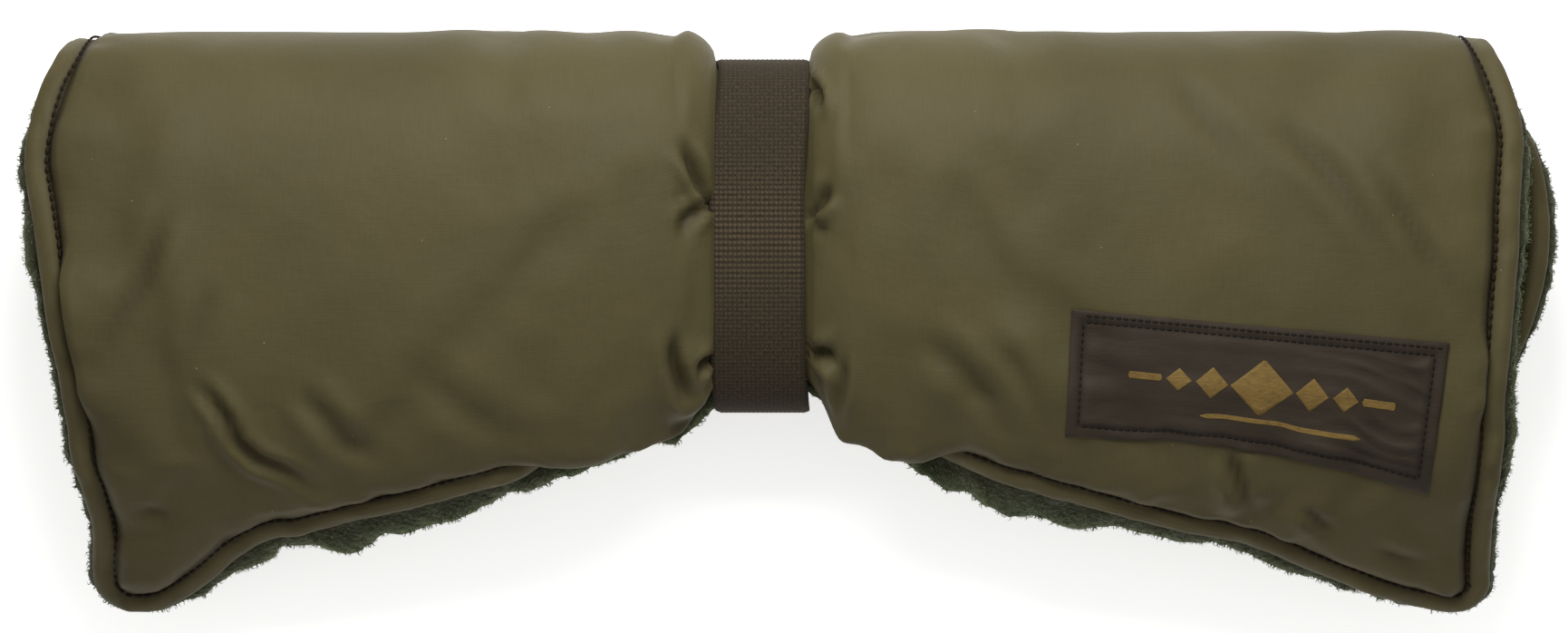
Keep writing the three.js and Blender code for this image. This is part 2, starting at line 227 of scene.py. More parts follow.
def front_curve(side, reach, count):
    """Points from the fold line or hem up to the roll, and the inward direction at each."""
    start = roll_point(reach, LEAD)
    leave = unit(roll_point(reach, LEAD + 1) - start)
    share = float(smooth(reach, 0, FLAP_FROM))
    slope = math.radians(lerp(EDGE_AT_WAIST["slope"], FLAP_SLOPE, share))
    if reach > FLAP_FROM:
        y = fold_line_y(side, reach)
    else:
        y = hem_y(side, reach) + (EDGE_AT_WAIST["y"] - HEM["waist"]) * (1 - share)
    stop = np.array([y, lerp(EDGE_AT_WAIST["z"], FLAP_Z, share)])
    arrive = np.array([-math.cos(slope), -math.sin(slope)])
    pull = np.linalg.norm(stop - start) / 3
    t = np.linspace(1, 0, count)[:, None]
    a, b, c, d = start, start + leave * pull, stop - arrive * pull, stop
    curve = (1 - t) ** 3 * a + 3 * (1 - t) ** 2 * t * b + 3 * (1 - t) * t**2 * c + t**3 * d
    inward_roll = unit(roll_point(reach, LEAD, 1.0) - start)
    inward_flap = np.array([math.sin(slope), -math.cos(slope)])
    return curve, unit(lerp(inward_roll, inward_flap, t))


# Rows and columns of the cloth. Distances from an edge are finer where the hem is.

OUTER_WRAP = -95.0  # from the front round to here nothing lies outside the wrap
EDGE_STEPS = [0.0, 0.25, 0.8, 1.8, 3.2, 4.6, 5.6, 6.2, 6.6, 7.0, 7.8, 9.5, 12.0, 15.0, 18.5]
FRONT_ROWS, MIDDLE_ROWS, FLAP_ROWS = 30, 170, 30
FRONT_PITCH = 0.85
UNDER_BAND = 4.0  # the halves reach this far under the band
WAIST_COLUMNS = [-UNDER_BAND, -2.0, *np.arange(0, 14, 1.0), *np.linspace(14, FLAP_FROM, 27)]
OUTER_COLUMNS = 52
ANGLES = np.arange(LEAD, LAST - 0.1, -2.0)
REACH_STEP = 1.0


def row_distances(length):
    """Distances of the rows from the hem, for a wrap of this length."""
    first = np.arange(FRONT_ROWS) * FRONT_PITCH
    last = length - np.array(EDGE_STEPS[::-1])
    middle = np.linspace(FRONT_ROWS * FRONT_PITCH, last[0], MIDDLE_ROWS, endpoint=False)
    return np.concatenate([first, middle, last])


def wrap_tables(side):
    """For each reach, the rows' outer point, inward vector through the pad, angle and distance from the hem."""
    reaches = np.arange(-UNDER_BAND, side["reach"] + ROLL_SKEW + 2, REACH_STEP)
    outer, inner, angles, distances = [], [], [], []
    for reach in reaches:
        front, inward = front_curve(side, reach, 26)
        pad = section(reach)[3]
        line = np.concatenate([front[:-1], roll_point(reach, ANGLES)])
        within = np.concatenate([front[:-1] + inward[:-1] * pad, roll_point(reach, ANGLES, pad)])
        angle = np.concatenate([np.full(25, LEAD + 1), ANGLES])
        along = along_line(line)
        rows = row_distances(along[-1])
        outer.append(read_at(rows, along, line))
        inner.append(read_at(rows, along, within))
        angles.append(np.interp(rows, along, angle))
        distances.append(rows)
    return np.array(outer), np.array(inner), np.array(angles), np.array(distances)


class Cloth:
    """One side's base surface: a grid of the roll, joined along the fold line to a grid of the free corner."""

    def __init__(self, name):
        self.name, self.side = name, SIDES[name]
        side = self.side
        outer, inner, angles, distances = wrap_tables(side)
        rows = outer.shape[1]
        at_end = int(round((side["reach"] + UNDER_BAND) / REACH_STEP))
        ends = end_reach(side, outer[at_end, :, 0], angles[at_end])
        span = ends - EDGE_STEPS[-1] - FLAP_FROM
        middle = FLAP_FROM + span[:, None] * np.linspace(0, 1, OUTER_COLUMNS + 1)[None, 1:-1]
        near_end = ends[:, None] - np.array(EDGE_STEPS[::-1])[None]
        reach = np.concatenate([np.tile(WAIST_COLUMNS, (rows, 1)), middle, near_end], 1)
        self.fold_column = len(WAIST_COLUMNS) - 1
        spot = (reach + UNDER_BAND) / REACH_STEP
        k = np.clip(spot.astype(int), 0, len(outer) - 2)
        f = spot - k
        row = np.arange(rows)[:, None]
        pick = lambda table: lerp(table[k, row], table[k + 1, row], f if table.ndim == 2 else f[..., None])
        near, far, angle, wrap = pick(outer), pick(inner), pick(angles), pick(distances)
        x = side["sign"] * (BAND_WIDTH / 2 + reach)
        half = np.concatenate([x[..., None], near], -1)
        half_in = np.concatenate([x[..., None], far], -1) - half
        self.shape = half.shape[:2]
        columns = half.shape[1]

        # The free corner is a plane through the fold line.
        fold = half[0, self.fold_column :]
        fold_reach = reach[0, self.fold_column :]
        share_along = (fold_reach - FLAP_FROM) / (fold_reach[-1] - FLAP_FROM)
        hem_reach = lerp(FLAP_FROM, corner_reach(side), share_along)
        hem = hem_y(side, hem_reach)
        slope = math.radians(FLAP_SLOPE)
        width = np.hypot(fold[:, 1] - hem, 0.0) / math.cos(slope)
        even = np.linspace(0, 1, FLAP_ROWS + 1)[:, None] * np.ones_like(width)[None]
        steps = np.array(EDGE_STEPS[::-1])
        wide = np.maximum(width, steps[0] + 1.5)
        inner = np.linspace(0, 1, FLAP_ROWS + 1 - len(steps), endpoint=False)[:, None] * (wide - steps[0])[None]
        edged = np.concatenate([inner, wide[None] - steps[:, None]]) / wide[None]
        share = lerp(even, edged, smooth(width, 20, 28)[None])
        from_fold = share * width[None]
        flap_reach = lerp(fold_reach[None], hem_reach[None], share)
        flap_y = lerp(fold[None, :, 1], hem[None], share)
        flap_z = FLAP_Z - (fold_line_y(side, flap_reach) - flap_y) * math.tan(slope)
        flap = np.stack([side["sign"] * (BAND_WIDTH / 2 + flap_reach), flap_y, flap_z], -1)
        flap_in = np.zeros_like(flap)
        flap_in[..., 1], flap_in[..., 2] = math.sin(slope), -math.cos(slope)
        flap_in *= END["pad"]

        # Joined: the corner's first row is the roll's own, and its first column is one point.
        self.half_index = np.arange(rows * columns).reshape(rows, columns)
        index = np.zeros(flap.shape[:2], int)
        index[0] = self.half_index[0, self.fold_column :]
        new = flap[1:, 1:]
        index[1:, 0] = index[0, 0]
        index[1:, 1:] = rows * columns + np.arange(new[..., 0].size).reshape(new.shape[:2])
        self.flap_index = index
        joined = lambda a, b: np.concatenate([a.reshape(-1, *a.shape[2:]), b[1:, 1:].reshape(-1, *b.shape[2:])])
        self.base = joined(half, flap)
        self.inward = joined(half_in, flap_in)
        self.reach = joined(reach, flap_reach)
        self.angle = joined(angle, np.full(flap_reach.shape, LEAD + 2))
        self.wrap = joined(wrap, -from_fold)
        self.length = joined(np.tile(wrap[-1], (rows, 1)), np.tile(wrap[-1, self.fold_column :], (FLAP_ROWS + 1, 1)))
        along_end = np.gradient(wrap[:, -1])
        square = 1 / np.sqrt(1 + (np.gradient(ends) / along_end) ** 2)
        self.from_end = joined((ends[:, None] - reach) * square[:, None], np.tile(99.0, flap_reach.shape))
        self.on_flap = joined(np.zeros(self.shape), np.ones(flap_reach.shape)) > 0.5
        self.faces = []
        self.face_on_flap = []
        for grid, flag in ((self.half_index, False), (self.flap_index, True)):
            a, b, c, d = grid[:-1, :-1], grid[1:, :-1], grid[1:, 1:], grid[:-1, 1:]
            order = (a, d, c, b) if (side["sign"] > 0) != flag else (a, b, c, d)
            quads = np.stack([o.ravel() for o in order], 1)
            self.faces += [tuple(dict.fromkeys(q)) for q in quads.tolist()]
            self.face_on_flap += [flag] * len(quads)
        self.border = np.concatenate(
            [
                self.half_index[0, : self.fold_column],
                self.flap_index[-1, :],
                self.flap_index[-2:0:-1, -1],
                self.half_index[:, -1],
                self.half_index[-1, -2::-1],
            ]
        )
        flap_edges = self.flap_index[-1, 1:].size + self.flap_index[-2:0:-1, -1].size
        first = self.fold_column
        self.border_on_flap = np.zeros(len(self.border), bool)
        self.border_on_flap[first + 1 : first + 1 + flap_edges] = True
        self.corner_spot = first + self.flap_index.shape[1] - 1
        self.normal = vertex_normals(self.base, self.faces)
        tangent = np.gradient(self.base[self.border], axis=0)
        out = np.cross(self.inward[self.border], tangent)
        out = unit(out) * side["sign"]
        out[1:-1] = unit(out[:-2] + 2 * out[1:-1] + out[2:])
        self.out = out
        self.edge = self.edge_distance()
        near = np.nonzero((self.edge < 32) & (self.angle > OUTER_WRAP))[0]
        line = self.base[self.border]
        spot = np.array([np.argmin(((line - point) ** 2).sum(1)) for point in self.base[near]])
        wander = 0.75 * value_noise(line, 19, SEED + 16) + 0.4 * value_noise(line, 8, SEED + 17)
        wander *= smooth(self.reach[self.border], 4, 16) * (self.angle[self.border] > OUTER_WRAP + 25)
        along = along_line(line)
        past_corner = along - along[self.corner_spot]
        flare = np.interp(self.reach[self.border], *HEM_FLARE[self.name])
        at_corner = flare[self.corner_spot] * (1 - smooth(past_corner, 0, FLARE_FADES))
        wander += np.where(past_corner < 0, flare, at_corner)
        fade = 1 - smooth(self.edge[near], 9, 32)
        self.base[near] += self.out[spot] * (wander[spot] * fade)[:, None]

    def edge_distance(self):
        """Distance along the cloth from each point to the nearest hem."""
        order = np.arange(len(self.border))
        outer = self.border[(order < self.corner_spot) | (self.angle[self.border] > OUTER_WRAP - 10)]
        edge = np.minimum(self.from_end, 99.0)
        front = self.angle > OUTER_WRAP
        edge[front] = line_distance(self.base[front], self.base[outer])[0]
        return np.minimum(edge, np.where(self.on_flap, 99.0, self.length - self.wrap))


def vertex_normals(points, faces):
    """Area-weighted normals."""
    tris = []
    for face in faces:
        if len(face) == 4:
            tris.append((face[0], face[1], face[2]))
            tris.append((face[0], face[2], face[3]))
        elif len(face) == 3:
            tris.append(face)
    tris = np.array(tris)
    a, b, c = points[tris[:, 0]], points[tris[:, 1]], points[tris[:, 2]]
    n = np.cross(b - a, c - a)
    total = np.zeros_like(points)
    for k in range(3):
        for axis in range(3):
            total[:, axis] += np.bincount(tris[:, k], n[:, axis], len(points))
    return unit(total)


def line_distance(points, line):
    """Distance to a polyline, and the share along it of the nearest spot."""
    best = np.full(len(points), 1e9)
    share = np.zeros(len(points))
    lengths = along_line(line)
    for k in range(len(line) - 1):
        a, d = line[k], line[k + 1] - line[k]
        size = max(float(d @ d), 1e-9)
        t = np.clip(((points - a) @ d) / size, 0, 1)
        gap = np.linalg.norm(points - (a + t[:, None] * d), axis=1)
        nearer = gap < best
        best = np.where(nearer, gap, best)
        share = np.where(nearer, (lengths[k] + t * math.sqrt(size)) / lengths[-1], share)
    return best, share


def relax(values, faces, passes, held):
    """Evens out a field over the mesh, except where it is held."""
    edges = np.array([(f[k], f[(k + 1) % len(f)]) for f in faces for k in range(len(f))])
    both = np.concatenate([edges, edges[:, ::-1]])
    count = np.bincount(both[:, 0], minlength=len(values))
    count = np.maximum(count, 1)
    for _ in range(passes):
        mean = np.stack([np.bincount(both[:, 0], values[both[:, 1], k], len(values)) for k in range(3)], 1)
        values = np.where(held[:, None], values, 0.4 * values + 0.6 * mean / count[:, None])
    return values


# Shape of the hem: depth under the full pad's face against distance from the edge. A rolled bead, the groove of the
# topstitching, and then the body, which swells over its first 20 mm.
HEM_DISTANCE = [0.0, 0.25, 0.8, 1.8, 3.2, 4.6, 5.6, 6.2, 6.6, 7.0, 7.8, 9.5, 12.0, 15.0, 20.0, 26.0]
HEM_DEPTH = [6.2, 5.1, 4.4, 3.8, 3.5, 3.7, 4.2, 4.7, 5.0, 4.3, 2.9, 1.75, 0.95, 0.45, 0.1, 0.0]
TUCKED_DEPTH = [8.8, 8.4, 7.8, 7.2, 6.7, 6.4, 6.0, 5.4, 4.6, 3.6, 2.3, 1.3, 0.6, 0.3, 0.05, 0.0]
TUCKED_TO = {"left": (34.0, 62.0), "right": (22.0, 46.0)}  # near the waist the hem curls under, over these reaches
STITCH_INSET = 6.5
CURL_UNDER = 3.6
# The padding spreads the hem outward by this much, against the distance from the waist
HEM_FLARE = {
    "left": ([0, 12, 30, 60, 90, 117, 135, 150, 175], [0, 4.0, 3.5, 4.5, 5.0, 5.5, 3.5, 2.5, 2.5]),
    "right": ([0, 16, 32, 60, 110, 132, 150, 175], [0, 1.5, 5.0, 4.5, 4.5, 3.5, 2.5, 1.5]),
}
FLARE_FADES = 22.0  # past the low corner the flare fades over this much of the end
TUCK_OVERHANG = {"left": 9.0, "right": 11.0}  # the body hangs over the curled hem by this much
TOP_FLATTER = 0.6  # over the top the body is pulled nearly level with its hem
HEM_UNDER = [(0.1, 6.4), (0.9, 7.2), (2.4, 7.7), (4.2, 8.0), (6.4, 8.1)]  # the bead's underside: inset and depth

OVERHANG = {"left": (-32.0, 24.0, 4.2), "right": (-34.0, 2.0, 3.0)}  # the body hangs over its stitches: y range, most

# Folds and puckers that lie on the front: points as (x, y), depth, width and the ridges' share of the depth
CREASES = {
    "left": [
        ([(-13, 33.2), (-16, 37), (-19.5, 43.5), (-25.3, 52.5)], 3.4, 1.5, 0.55),
        ([(-13, 32.6), (-17, 31.8), (-21, 29), (-24, 23)], 2.4, 1.4, 0.6),
        ([(-21, 38), (-23.5, 31)], 1.0, 2.6, 0.2),
        ([(-13, -9.2), (-16, -8.2), (-19.5, -9.6)], 2.6, 1.2, 0.8),
        ([(-23.6, 0.5), (-25, -6.5), (-22, -13.5), (-15, -18)], 2.6, 2.2, 0.7),
        ([(-13, -23.5), (-18, -20.4), (-23, -20), (-29, -22.5)], 2.2, 1.7, 0.9),
        ([(-157, -13.5), (-151, -17), (-146, -24), (-143.2, -31), (-138, -36.6), (-127, -41), (-117, -49)], 1.8, 1.9, 1.1),
        ([(-128, -14), (-122, -22), (-112, -33), (-99, -41)], 1.3, 3.0, 0.9),
        ([(-158, 36), (-166, 18), (-174, 2), (-182, -22)], 1.5, 2.9, 1.0),
        ([(-148, 14), (-153, -2), (-157, -14)], 0.8, 3.4, 0.6),
        ([(-189.4, 14), (-187, -4), (-183.4, -23)], 1.6, 1.3, 1.1),
        ([(-173, -50.3), (-167, -51), (-160, -55.5)], 0.9, 1.8, 0.8),
        ([(-62, -34), (-84, -22), (-104, -4)], 0.8, 4.0, 0.7),
        ([(-112, -52), (-126, -56), (-146, -60)], 1.0, 2.6, 0.7),
    ],
    "right": [
        ([(13, 66.5), (15, 64.5), (15.4, 61), (13.2, 58.6)], 3.2, 1.0, 0.7),
        ([(13, 30.4), (15, 33), (17, 36), (20, 38.5)], 3.0, 1.5, 0.7),
        ([(13, 29.6), (15, 27.4), (18, 24)], 1.6, 1.2, 0.6),
        ([(13, -7.6), (16, -5.4), (22, -4.9)], 2.8, 1.2, 0.8),
        ([(22.5, -4), (21.6, -12), (18, -19.5)], 1.6, 1.8, 0.6),
        ([(14.4, -9.5), (16, -15), (18, -20)], 1.3, 1.5, 0.6),
        ([(13, -23.4), (19, -25.6), (27, -28)], 1.8, 1.5, 0.6),
        ([(42, -2), (55, -12), (73, -37)], 1.5, 3.4, 0.9),
        ([(58, 0), (70, -14), (82, -36)], 1.0, 3.2, 0.8),
        ([(36, -28), (39, -33), (44, -36)], 2.2, 2.4, 0.7),
        ([(139, 60), (153, 44), (165, 27), (180, 4)], 1.3, 3.2, 0.9),
        ([(163, 46), (178, 24), (192, 4), (195, -2)], 1.4, 2.8, 1.0),
        ([(112, 74), (124, 56), (142, 34)], 0.8, 3.4, 0.8),
        ([(127, -33), (130.5, -43), (134.2, -54)], 2.2, 2.2, 0.9),
        ([(148, -49), (153, -55), (158, -58)], 1.4, 1.8, 0.7),
        ([(168, -62), (178, -66), (186, -70)], 1.2, 2.6, 0.7),
    ],
}


def tuck(cloth, index):
    """How far the hem curls under: 1 beside the band, 0 from the free corner on."""
    near_hem = (cloth.wrap[index] < 40) & (cloth.wrap[index] < 0.5 * cloth.length[index])
    return (1 - smooth(cloth.reach[index], *TUCKED_TO[cloth.name])) * near_hem


def hem_depth(cloth, index, edge):
    """Depth of the shell under the pad's full face at this distance from the edge."""
    plain, tucked = np.interp(edge, HEM_DISTANCE, HEM_DEPTH), np.interp(edge, HEM_DISTANCE, TUCKED_DEPTH)
    over_top = smooth(cloth.base[index, 1], 48, 78) * (np.abs(cloth.angle[index]) < 70)
    return lerp(plain, tucked, tuck(cloth, index)) * hem_scale(cloth, index) * (1 - TOP_FLATTER * over_top)


def crease_height(cloth):
    """Height of the folds and puckers on the front."""
    height = np.zeros(len(cloth.base))
    front = (cloth.angle > 12) & (cloth.normal[:, 2] > 0.05)
    spot = cloth.base[front][:, :2]
    for points, depth, width, ridge in CREASES[cloth.name]:
        line = np.array(points, float)
        fine = np.linspace(0, len(line) - 1, 6 * len(line))
        line = read_at(fine, np.arange(len(line)), line)
        line[1:-1] = (line[:-2] + line[1:-1] * 2 + line[2:]) / 4
        gap, share = line_distance(spot, line)
        at_band = abs(points[0][0]) < BAND_WIDTH / 2 + 1
        taper = (1 - smooth(share, 0.45, 1.0)) * (1 if at_band else smooth(share, 0.0, 0.3))
        spread = width * (1 + 0.8 * share) if at_band else width
        groove = np.exp(-((gap / spread) ** 2))
        swell = np.exp(-(((gap - 1.9 * spread) / spread) ** 2))
        height[front] += depth * taper * (ridge * swell - groove)
    clear = smooth(cloth.reach, 0.4, 3.2)
    return np.where(height > 0, height * clear, height * smooth(cloth.reach, -1.0, 1.0))


def gather_height(cloth):
    """Valleys where the band draws the fabric in, on the sides that the named puckers don't cover."""
    rng = np.random.default_rng(SEED + (cloth.side["sign"] > 0))
    height = np.zeros(len(cloth.base))
    share = cloth.wrap / cloth.length
    hidden = smooth(cloth.angle, -8, 14)
    at = 0.1
    while at < 0.97:
        depth = rng.uniform(1.3, 2.8)
        slant = rng.uniform(-0.0012, 0.0012)
        width = rng.uniform(0.005, 0.008)
        spread = width * (1 + 0.06 * np.maximum(cloth.reach, 0))
        fade = np.exp(-np.maximum(cloth.reach, 0) / rng.uniform(6, 13))
        height -= depth * fade * np.exp(-(((share - at - slant * cloth.reach) / spread) ** 2))
        at += rng.uniform(0.03, 0.06)
    return height * (1 - hidden) * smooth(cloth.reach, -1, 1.5)


# Cloth simulation of the shell: a coarse copy of the same grid swells and buckles, and its moves are passed on.

SIM_FRAMES = 22
SIM_CAP = 3.0
SIM_BROAD_PASSES, SIM_BROAD_ROUNDS = 12, 2  # the overall swelling is taken out again, so that the folds remain


def simulate(cloth):
    rows, columns = cloth.shape
    row_list = np.unique(np.concatenate([np.arange(0, FRONT_ROWS, 5), np.arange(FRONT_ROWS, rows - 14, 2), [rows - 1]]))
    column_list = np.unique(
        np.concatenate([[0, 2, 5, 8, 11, 14], np.arange(16, columns - 14, 3), [cloth.fold_column, columns - 6, columns - 1]])
    )
    flap_rows = np.arange(0, FLAP_ROWS + 1, 5)
    flap_columns = column_list[column_list >= cloth.fold_column] - cloth.fold_column
    coarse_half = cloth.half_index[np.ix_(row_list, column_list)]
    coarse_flap = cloth.flap_index[np.ix_(flap_rows, flap_columns)]
    used = np.unique(np.concatenate([coarse_half.ravel(), coarse_flap.ravel()]))
    local = {v: k for k, v in enumerate(used)}
    faces = []
    for grid, flag in ((coarse_half, False), (coarse_flap, True)):
        for i in range(grid.shape[0] - 1):
            for j in range(grid.shape[1] - 1):
                quad = [grid[i, j], grid[i + 1, j], grid[i + 1, j + 1], grid[i, j + 1]]
                quad = list(dict.fromkeys(local[v] for v in quad))
                if len(quad) < 3:
                    continue
                faces.append(quad[::-1] if (cloth.side["sign"] > 0) != flag else quad)
    mesh = bpy.data.meshes.new("coarse")
    mesh.from_pydata((cloth.base[used] * MM).tolist(), [], faces)
    thing = bpy.data.objects.new("coarse", mesh)
    bpy.context.scene.collection.objects.link(thing)
    held = np.clip(1 - smooth(cloth.edge, 7, 16) + 1 - smooth(cloth.reach, 2, 9), 0, 1)
    held = np.maximum(held, smooth(-cloth.angle, 150, 185))[used]
    group = thing.vertex_groups.new(name="held")
    for k, weight in enumerate(held):
        if weight > 0.01:
            group.add([k], float(weight), "REPLACE")
    modifier = thing.modifiers.new("Cloth", "CLOTH")
    settings = modifier.settings
    settings.quality = 6
    settings.mass = 0.15
    settings.tension_stiffness = settings.compression_stiffness = 12
    settings.shear_stiffness = 6
    settings.bending_stiffness = 0.35
    settings.air_damping = 2
    settings.vertex_group_mass = "held"
    settings.pin_stiffness = 1
    settings.shrink_min = -0.045
    settings.use_pressure = True
    settings.uniform_pressure_force = 1.6
    settings.effector_weights.gravity = 0
    modifier.collision_settings.use_collision = False
    modifier.collision_settings.use_self_collision = False
    scene = bpy.context.scene
    modifier.point_cache.frame_start, modifier.point_cache.frame_end = 1, SIM_FRAMES
    for number in range(1, SIM_FRAMES + 1):
        scene.frame_set(number)
    bpy.context.view_layer.objects.active = thing
    with bpy.context.temp_override(object=thing, active_object=thing, selected_objects=[thing]):
        bpy.ops.object.modifier_apply(modifier="Cloth")
    after = np.zeros(len(used) * 3)
    thing.data.vertices.foreach_get("co", after)
    move = after.reshape(-1, 3) / MM - cloth.base[used]
    outward = cloth.normal[used]
    for _ in range(SIM_BROAD_ROUNDS):
        swell = (move * outward).sum(1, keepdims=True)
        broad = relax(np.repeat(swell, 3, 1), faces, SIM_BROAD_PASSES, np.zeros(len(used), bool))[:, :1]
        move -= outward * broad
    move *= (1 - smooth(held, 0.0, 0.7))[:, None]
    bpy.data.objects.remove(thing)
    scene.frame_set(1)
    size = np.linalg.norm(move, axis=1, keepdims=True)
    move *= np.minimum(1, SIM_CAP / np.maximum(size, 1e-6))
    table = np.zeros((len(cloth.base), 3))
    table[used] = move
    full = np.zeros_like(table)
    for grid, coarse, list_i, list_j in (
        (cloth.flap_index, coarse_flap, flap_rows, flap_columns),
        (cloth.half_index, coarse_half, row_list, column_list),
    ):
        i, j = np.arange(grid.shape[0]), np.arange(grid.shape[1])
        part = np.stack([read_at(j, list_j, row) for row in table[coarse]])
        part = np.stack([read_at(i, list_i, part[:, c]) for c in j], 1)
        full[grid.ravel()] = part.reshape(-1, 3)
    held_all = (cloth.edge < 5) | (cloth.reach < 1)
    full *= (1 - held_all)[:, None]
    return relax(full, cloth.faces, 10, held_all)


# Making pieces


def split_piece(name, points, faces, keep, uv, fields, material, normals):
    """A mesh object from the faces that are kept, with its own shading normals and point attributes."""
    kept = [f for f, k in zip(faces, keep) if k]
    used = np.unique(np.concatenate([np.array(f) for f in kept]))
    local = np.full(len(points), -1)
    local[used] = np.arange(len(used))
    kept = [tuple(local[list(f)].tolist()) for f in kept]
    mesh = bpy.data.meshes.new(name)
    mesh.from_pydata((points[used] * MM + SHIFT).tolist(), [], kept)
    layer = mesh.uv_layers.new(name="UVMap")
    corner = np.zeros(len(mesh.loops), np.int32)
    mesh.loops.foreach_get("vertex_index", corner)
    layer.data.foreach_set("uv", (uv[used][corner] * UV_PER_MM).astype(np.float32).ravel())
    for key, values in fields.items():
        attribute = mesh.attributes.new(key, "FLOAT", "POINT")
        attribute.data.foreach_set("value", values[used].astype(np.float32))
    mesh.shade_smooth()
    if normals is not None:
        mesh.normals_split_custom_set_from_vertices(normals[used].tolist())
    mesh.materials.append(material)
    piece = bpy.data.objects.new(name, mesh)
    bpy.context.scene.collection.objects.link(piece)
    return piece


def add_rim(cloth, points, faces, flags, profile, out):
    """Rows that carry the cloth on from its border. profile gives, for each row, the inset and depth at each
    border point. Returns the border index of each new point."""
    inward = unit(cloth.inward[cloth.border])
    start = cloth.base[cloth.border]
    count = len(cloth.border)
    rows = [np.asarray(cloth.border)]
    for inset, depth in profile:
        rows.append(len(points) + np.arange(count))
        points = np.concatenate([points, start - out * inset[:, None] + inward * depth[:, None]])
    for a, b in zip(rows[:-1], rows[1:]):
        for k in range(count - 1):
            quad = (a[k], b[k], b[k + 1], a[k + 1])
            faces.append(tuple(int(v) for v in (quad if cloth.side["sign"] > 0 else quad[::-1])))
            flags.append(bool(cloth.border_on_flap[k] or cloth.border_on_flap[k + 1]))
    return points, rows


# Materials


class Nodes:
    """A material's node tree, with short calls to add and join nodes."""

    def __init__(self, name):
        self.material = bpy.data.materials.new(name)
        self.material.use_nodes = True
        self.tree = self.material.node_tree
        self.tree.nodes.clear()
        self.shader = self.add("ShaderNodeBsdfPrincipled")
        self.add("ShaderNodeOutputMaterial", {0: self.shader.outputs[0]})

    def add(self, kind, inputs=None, **settings):
        node = self.tree.nodes.new(kind)
        for key, value in settings.items():
            setattr(node, key, value)
        for key, value in (inputs or {}).items():
            self.put(node.inputs[key], value)
        return node

    def put(self, socket, value):
        """Joins an output to the socket, or sets the socket's value."""
        if hasattr(value, "is_output"):
            self.tree.links.new(value, socket)
        else:
            socket.default_value = value

    def math(self, operation, *values):
        return self.add("ShaderNodeMath", dict(enumerate(values)), operation=operation).outputs[0]

    def field(self, name):
        return self.add("ShaderNodeAttribute", attribute_name=name).outputs["Fac"]

    def scaled(self, vector, factor):
        return self.add("ShaderNodeVectorMath", {0: vector, "Scale": factor}, operation="SCALE").outputs[0]

    def uv(self):
        """The cloth's own coordinates in millimetres, along the tube and round the wrap."""
        return self.scaled(self.add("ShaderNodeUVMap", uv_map="UVMap").outputs[0], 1 / UV_PER_MM)

    def place(self):
        """Position on the object, in millimetres."""
        return self.scaled(self.add("ShaderNodeTexCoord").outputs["Object"], 1 / MM)

    def stretched(self, vector, x, y):
        return self.add("ShaderNodeMapping", {0: vector, "Scale": (x, y, 1.0)}).outputs[0]

    def noise(self, vector, scale, detail=2.0, roughness=0.5):
        inputs = {"Vector": vector, "Scale": scale, "Detail": detail, "Roughness": roughness}
        return self.add("ShaderNodeTexNoise", inputs).outputs["Fac"]

    def wave(self, vector, distortion, direction):
        inputs = {"Vector": vector, "Scale": 0.5, "Distortion": distortion, "Detail": 1.0}
        return self.add("ShaderNodeTexWave", inputs, bands_direction=direction).outputs["Fac"]

    def mix(self, factor, a, b):
        return self.add("ShaderNodeMix", {0: factor, 6: a, 7: b}, data_type="RGBA").outputs[2]

    def spread(self, value, low, high):
        """The value's range from low to high, as 0 to 1."""
        return self.add("ShaderNodeMapRange", {"Value": value, "From Min": low, "From Max": high}).outputs[0]

    def tint(self, color, rgb, amount, where):
        """Mixes in another colour, by this amount where the value is 1."""
        return self.mix(self.math("MULTIPLY", where, amount), color, srgb(*rgb))

    def bump(self, height, distance_mm, strength, normal=None):
        inputs = {"Height": height, "Distance": distance_mm * MM, "Strength": strength}
        if normal is not None:
            inputs["Normal"] = normal
        return self.add("ShaderNodeBump", inputs).outputs[0]

    def finish(self, color, roughness, normal=None, specular=0.15, sheen=0.0, sheen_tint=(1.0, 1.0, 1.0)):
        inputs = {
            "Base Color": color,
            "Roughness": roughness,
            "Specular IOR Level": specular,
            "Sheen Weight": sheen,
            "Sheen Roughness": 0.5,
            "Sheen Tint": (*sheen_tint, 1.0),
        }
        if normal is not None:
            inputs["Normal"] = normal
        for key, value in inputs.items():
            self.put(self.shader.inputs[key], value)
        return self.material


def srgb(r, g, b):
    """A linear colour with alpha from an 8-bit sRGB one."""
    to_linear = lambda c: c / 12.92 if c <= 0.04045 else ((c + 0.055) / 1.055) ** 2.4
    return (*(to_linear(c / 255) for c in (r, g, b)), 1.0)


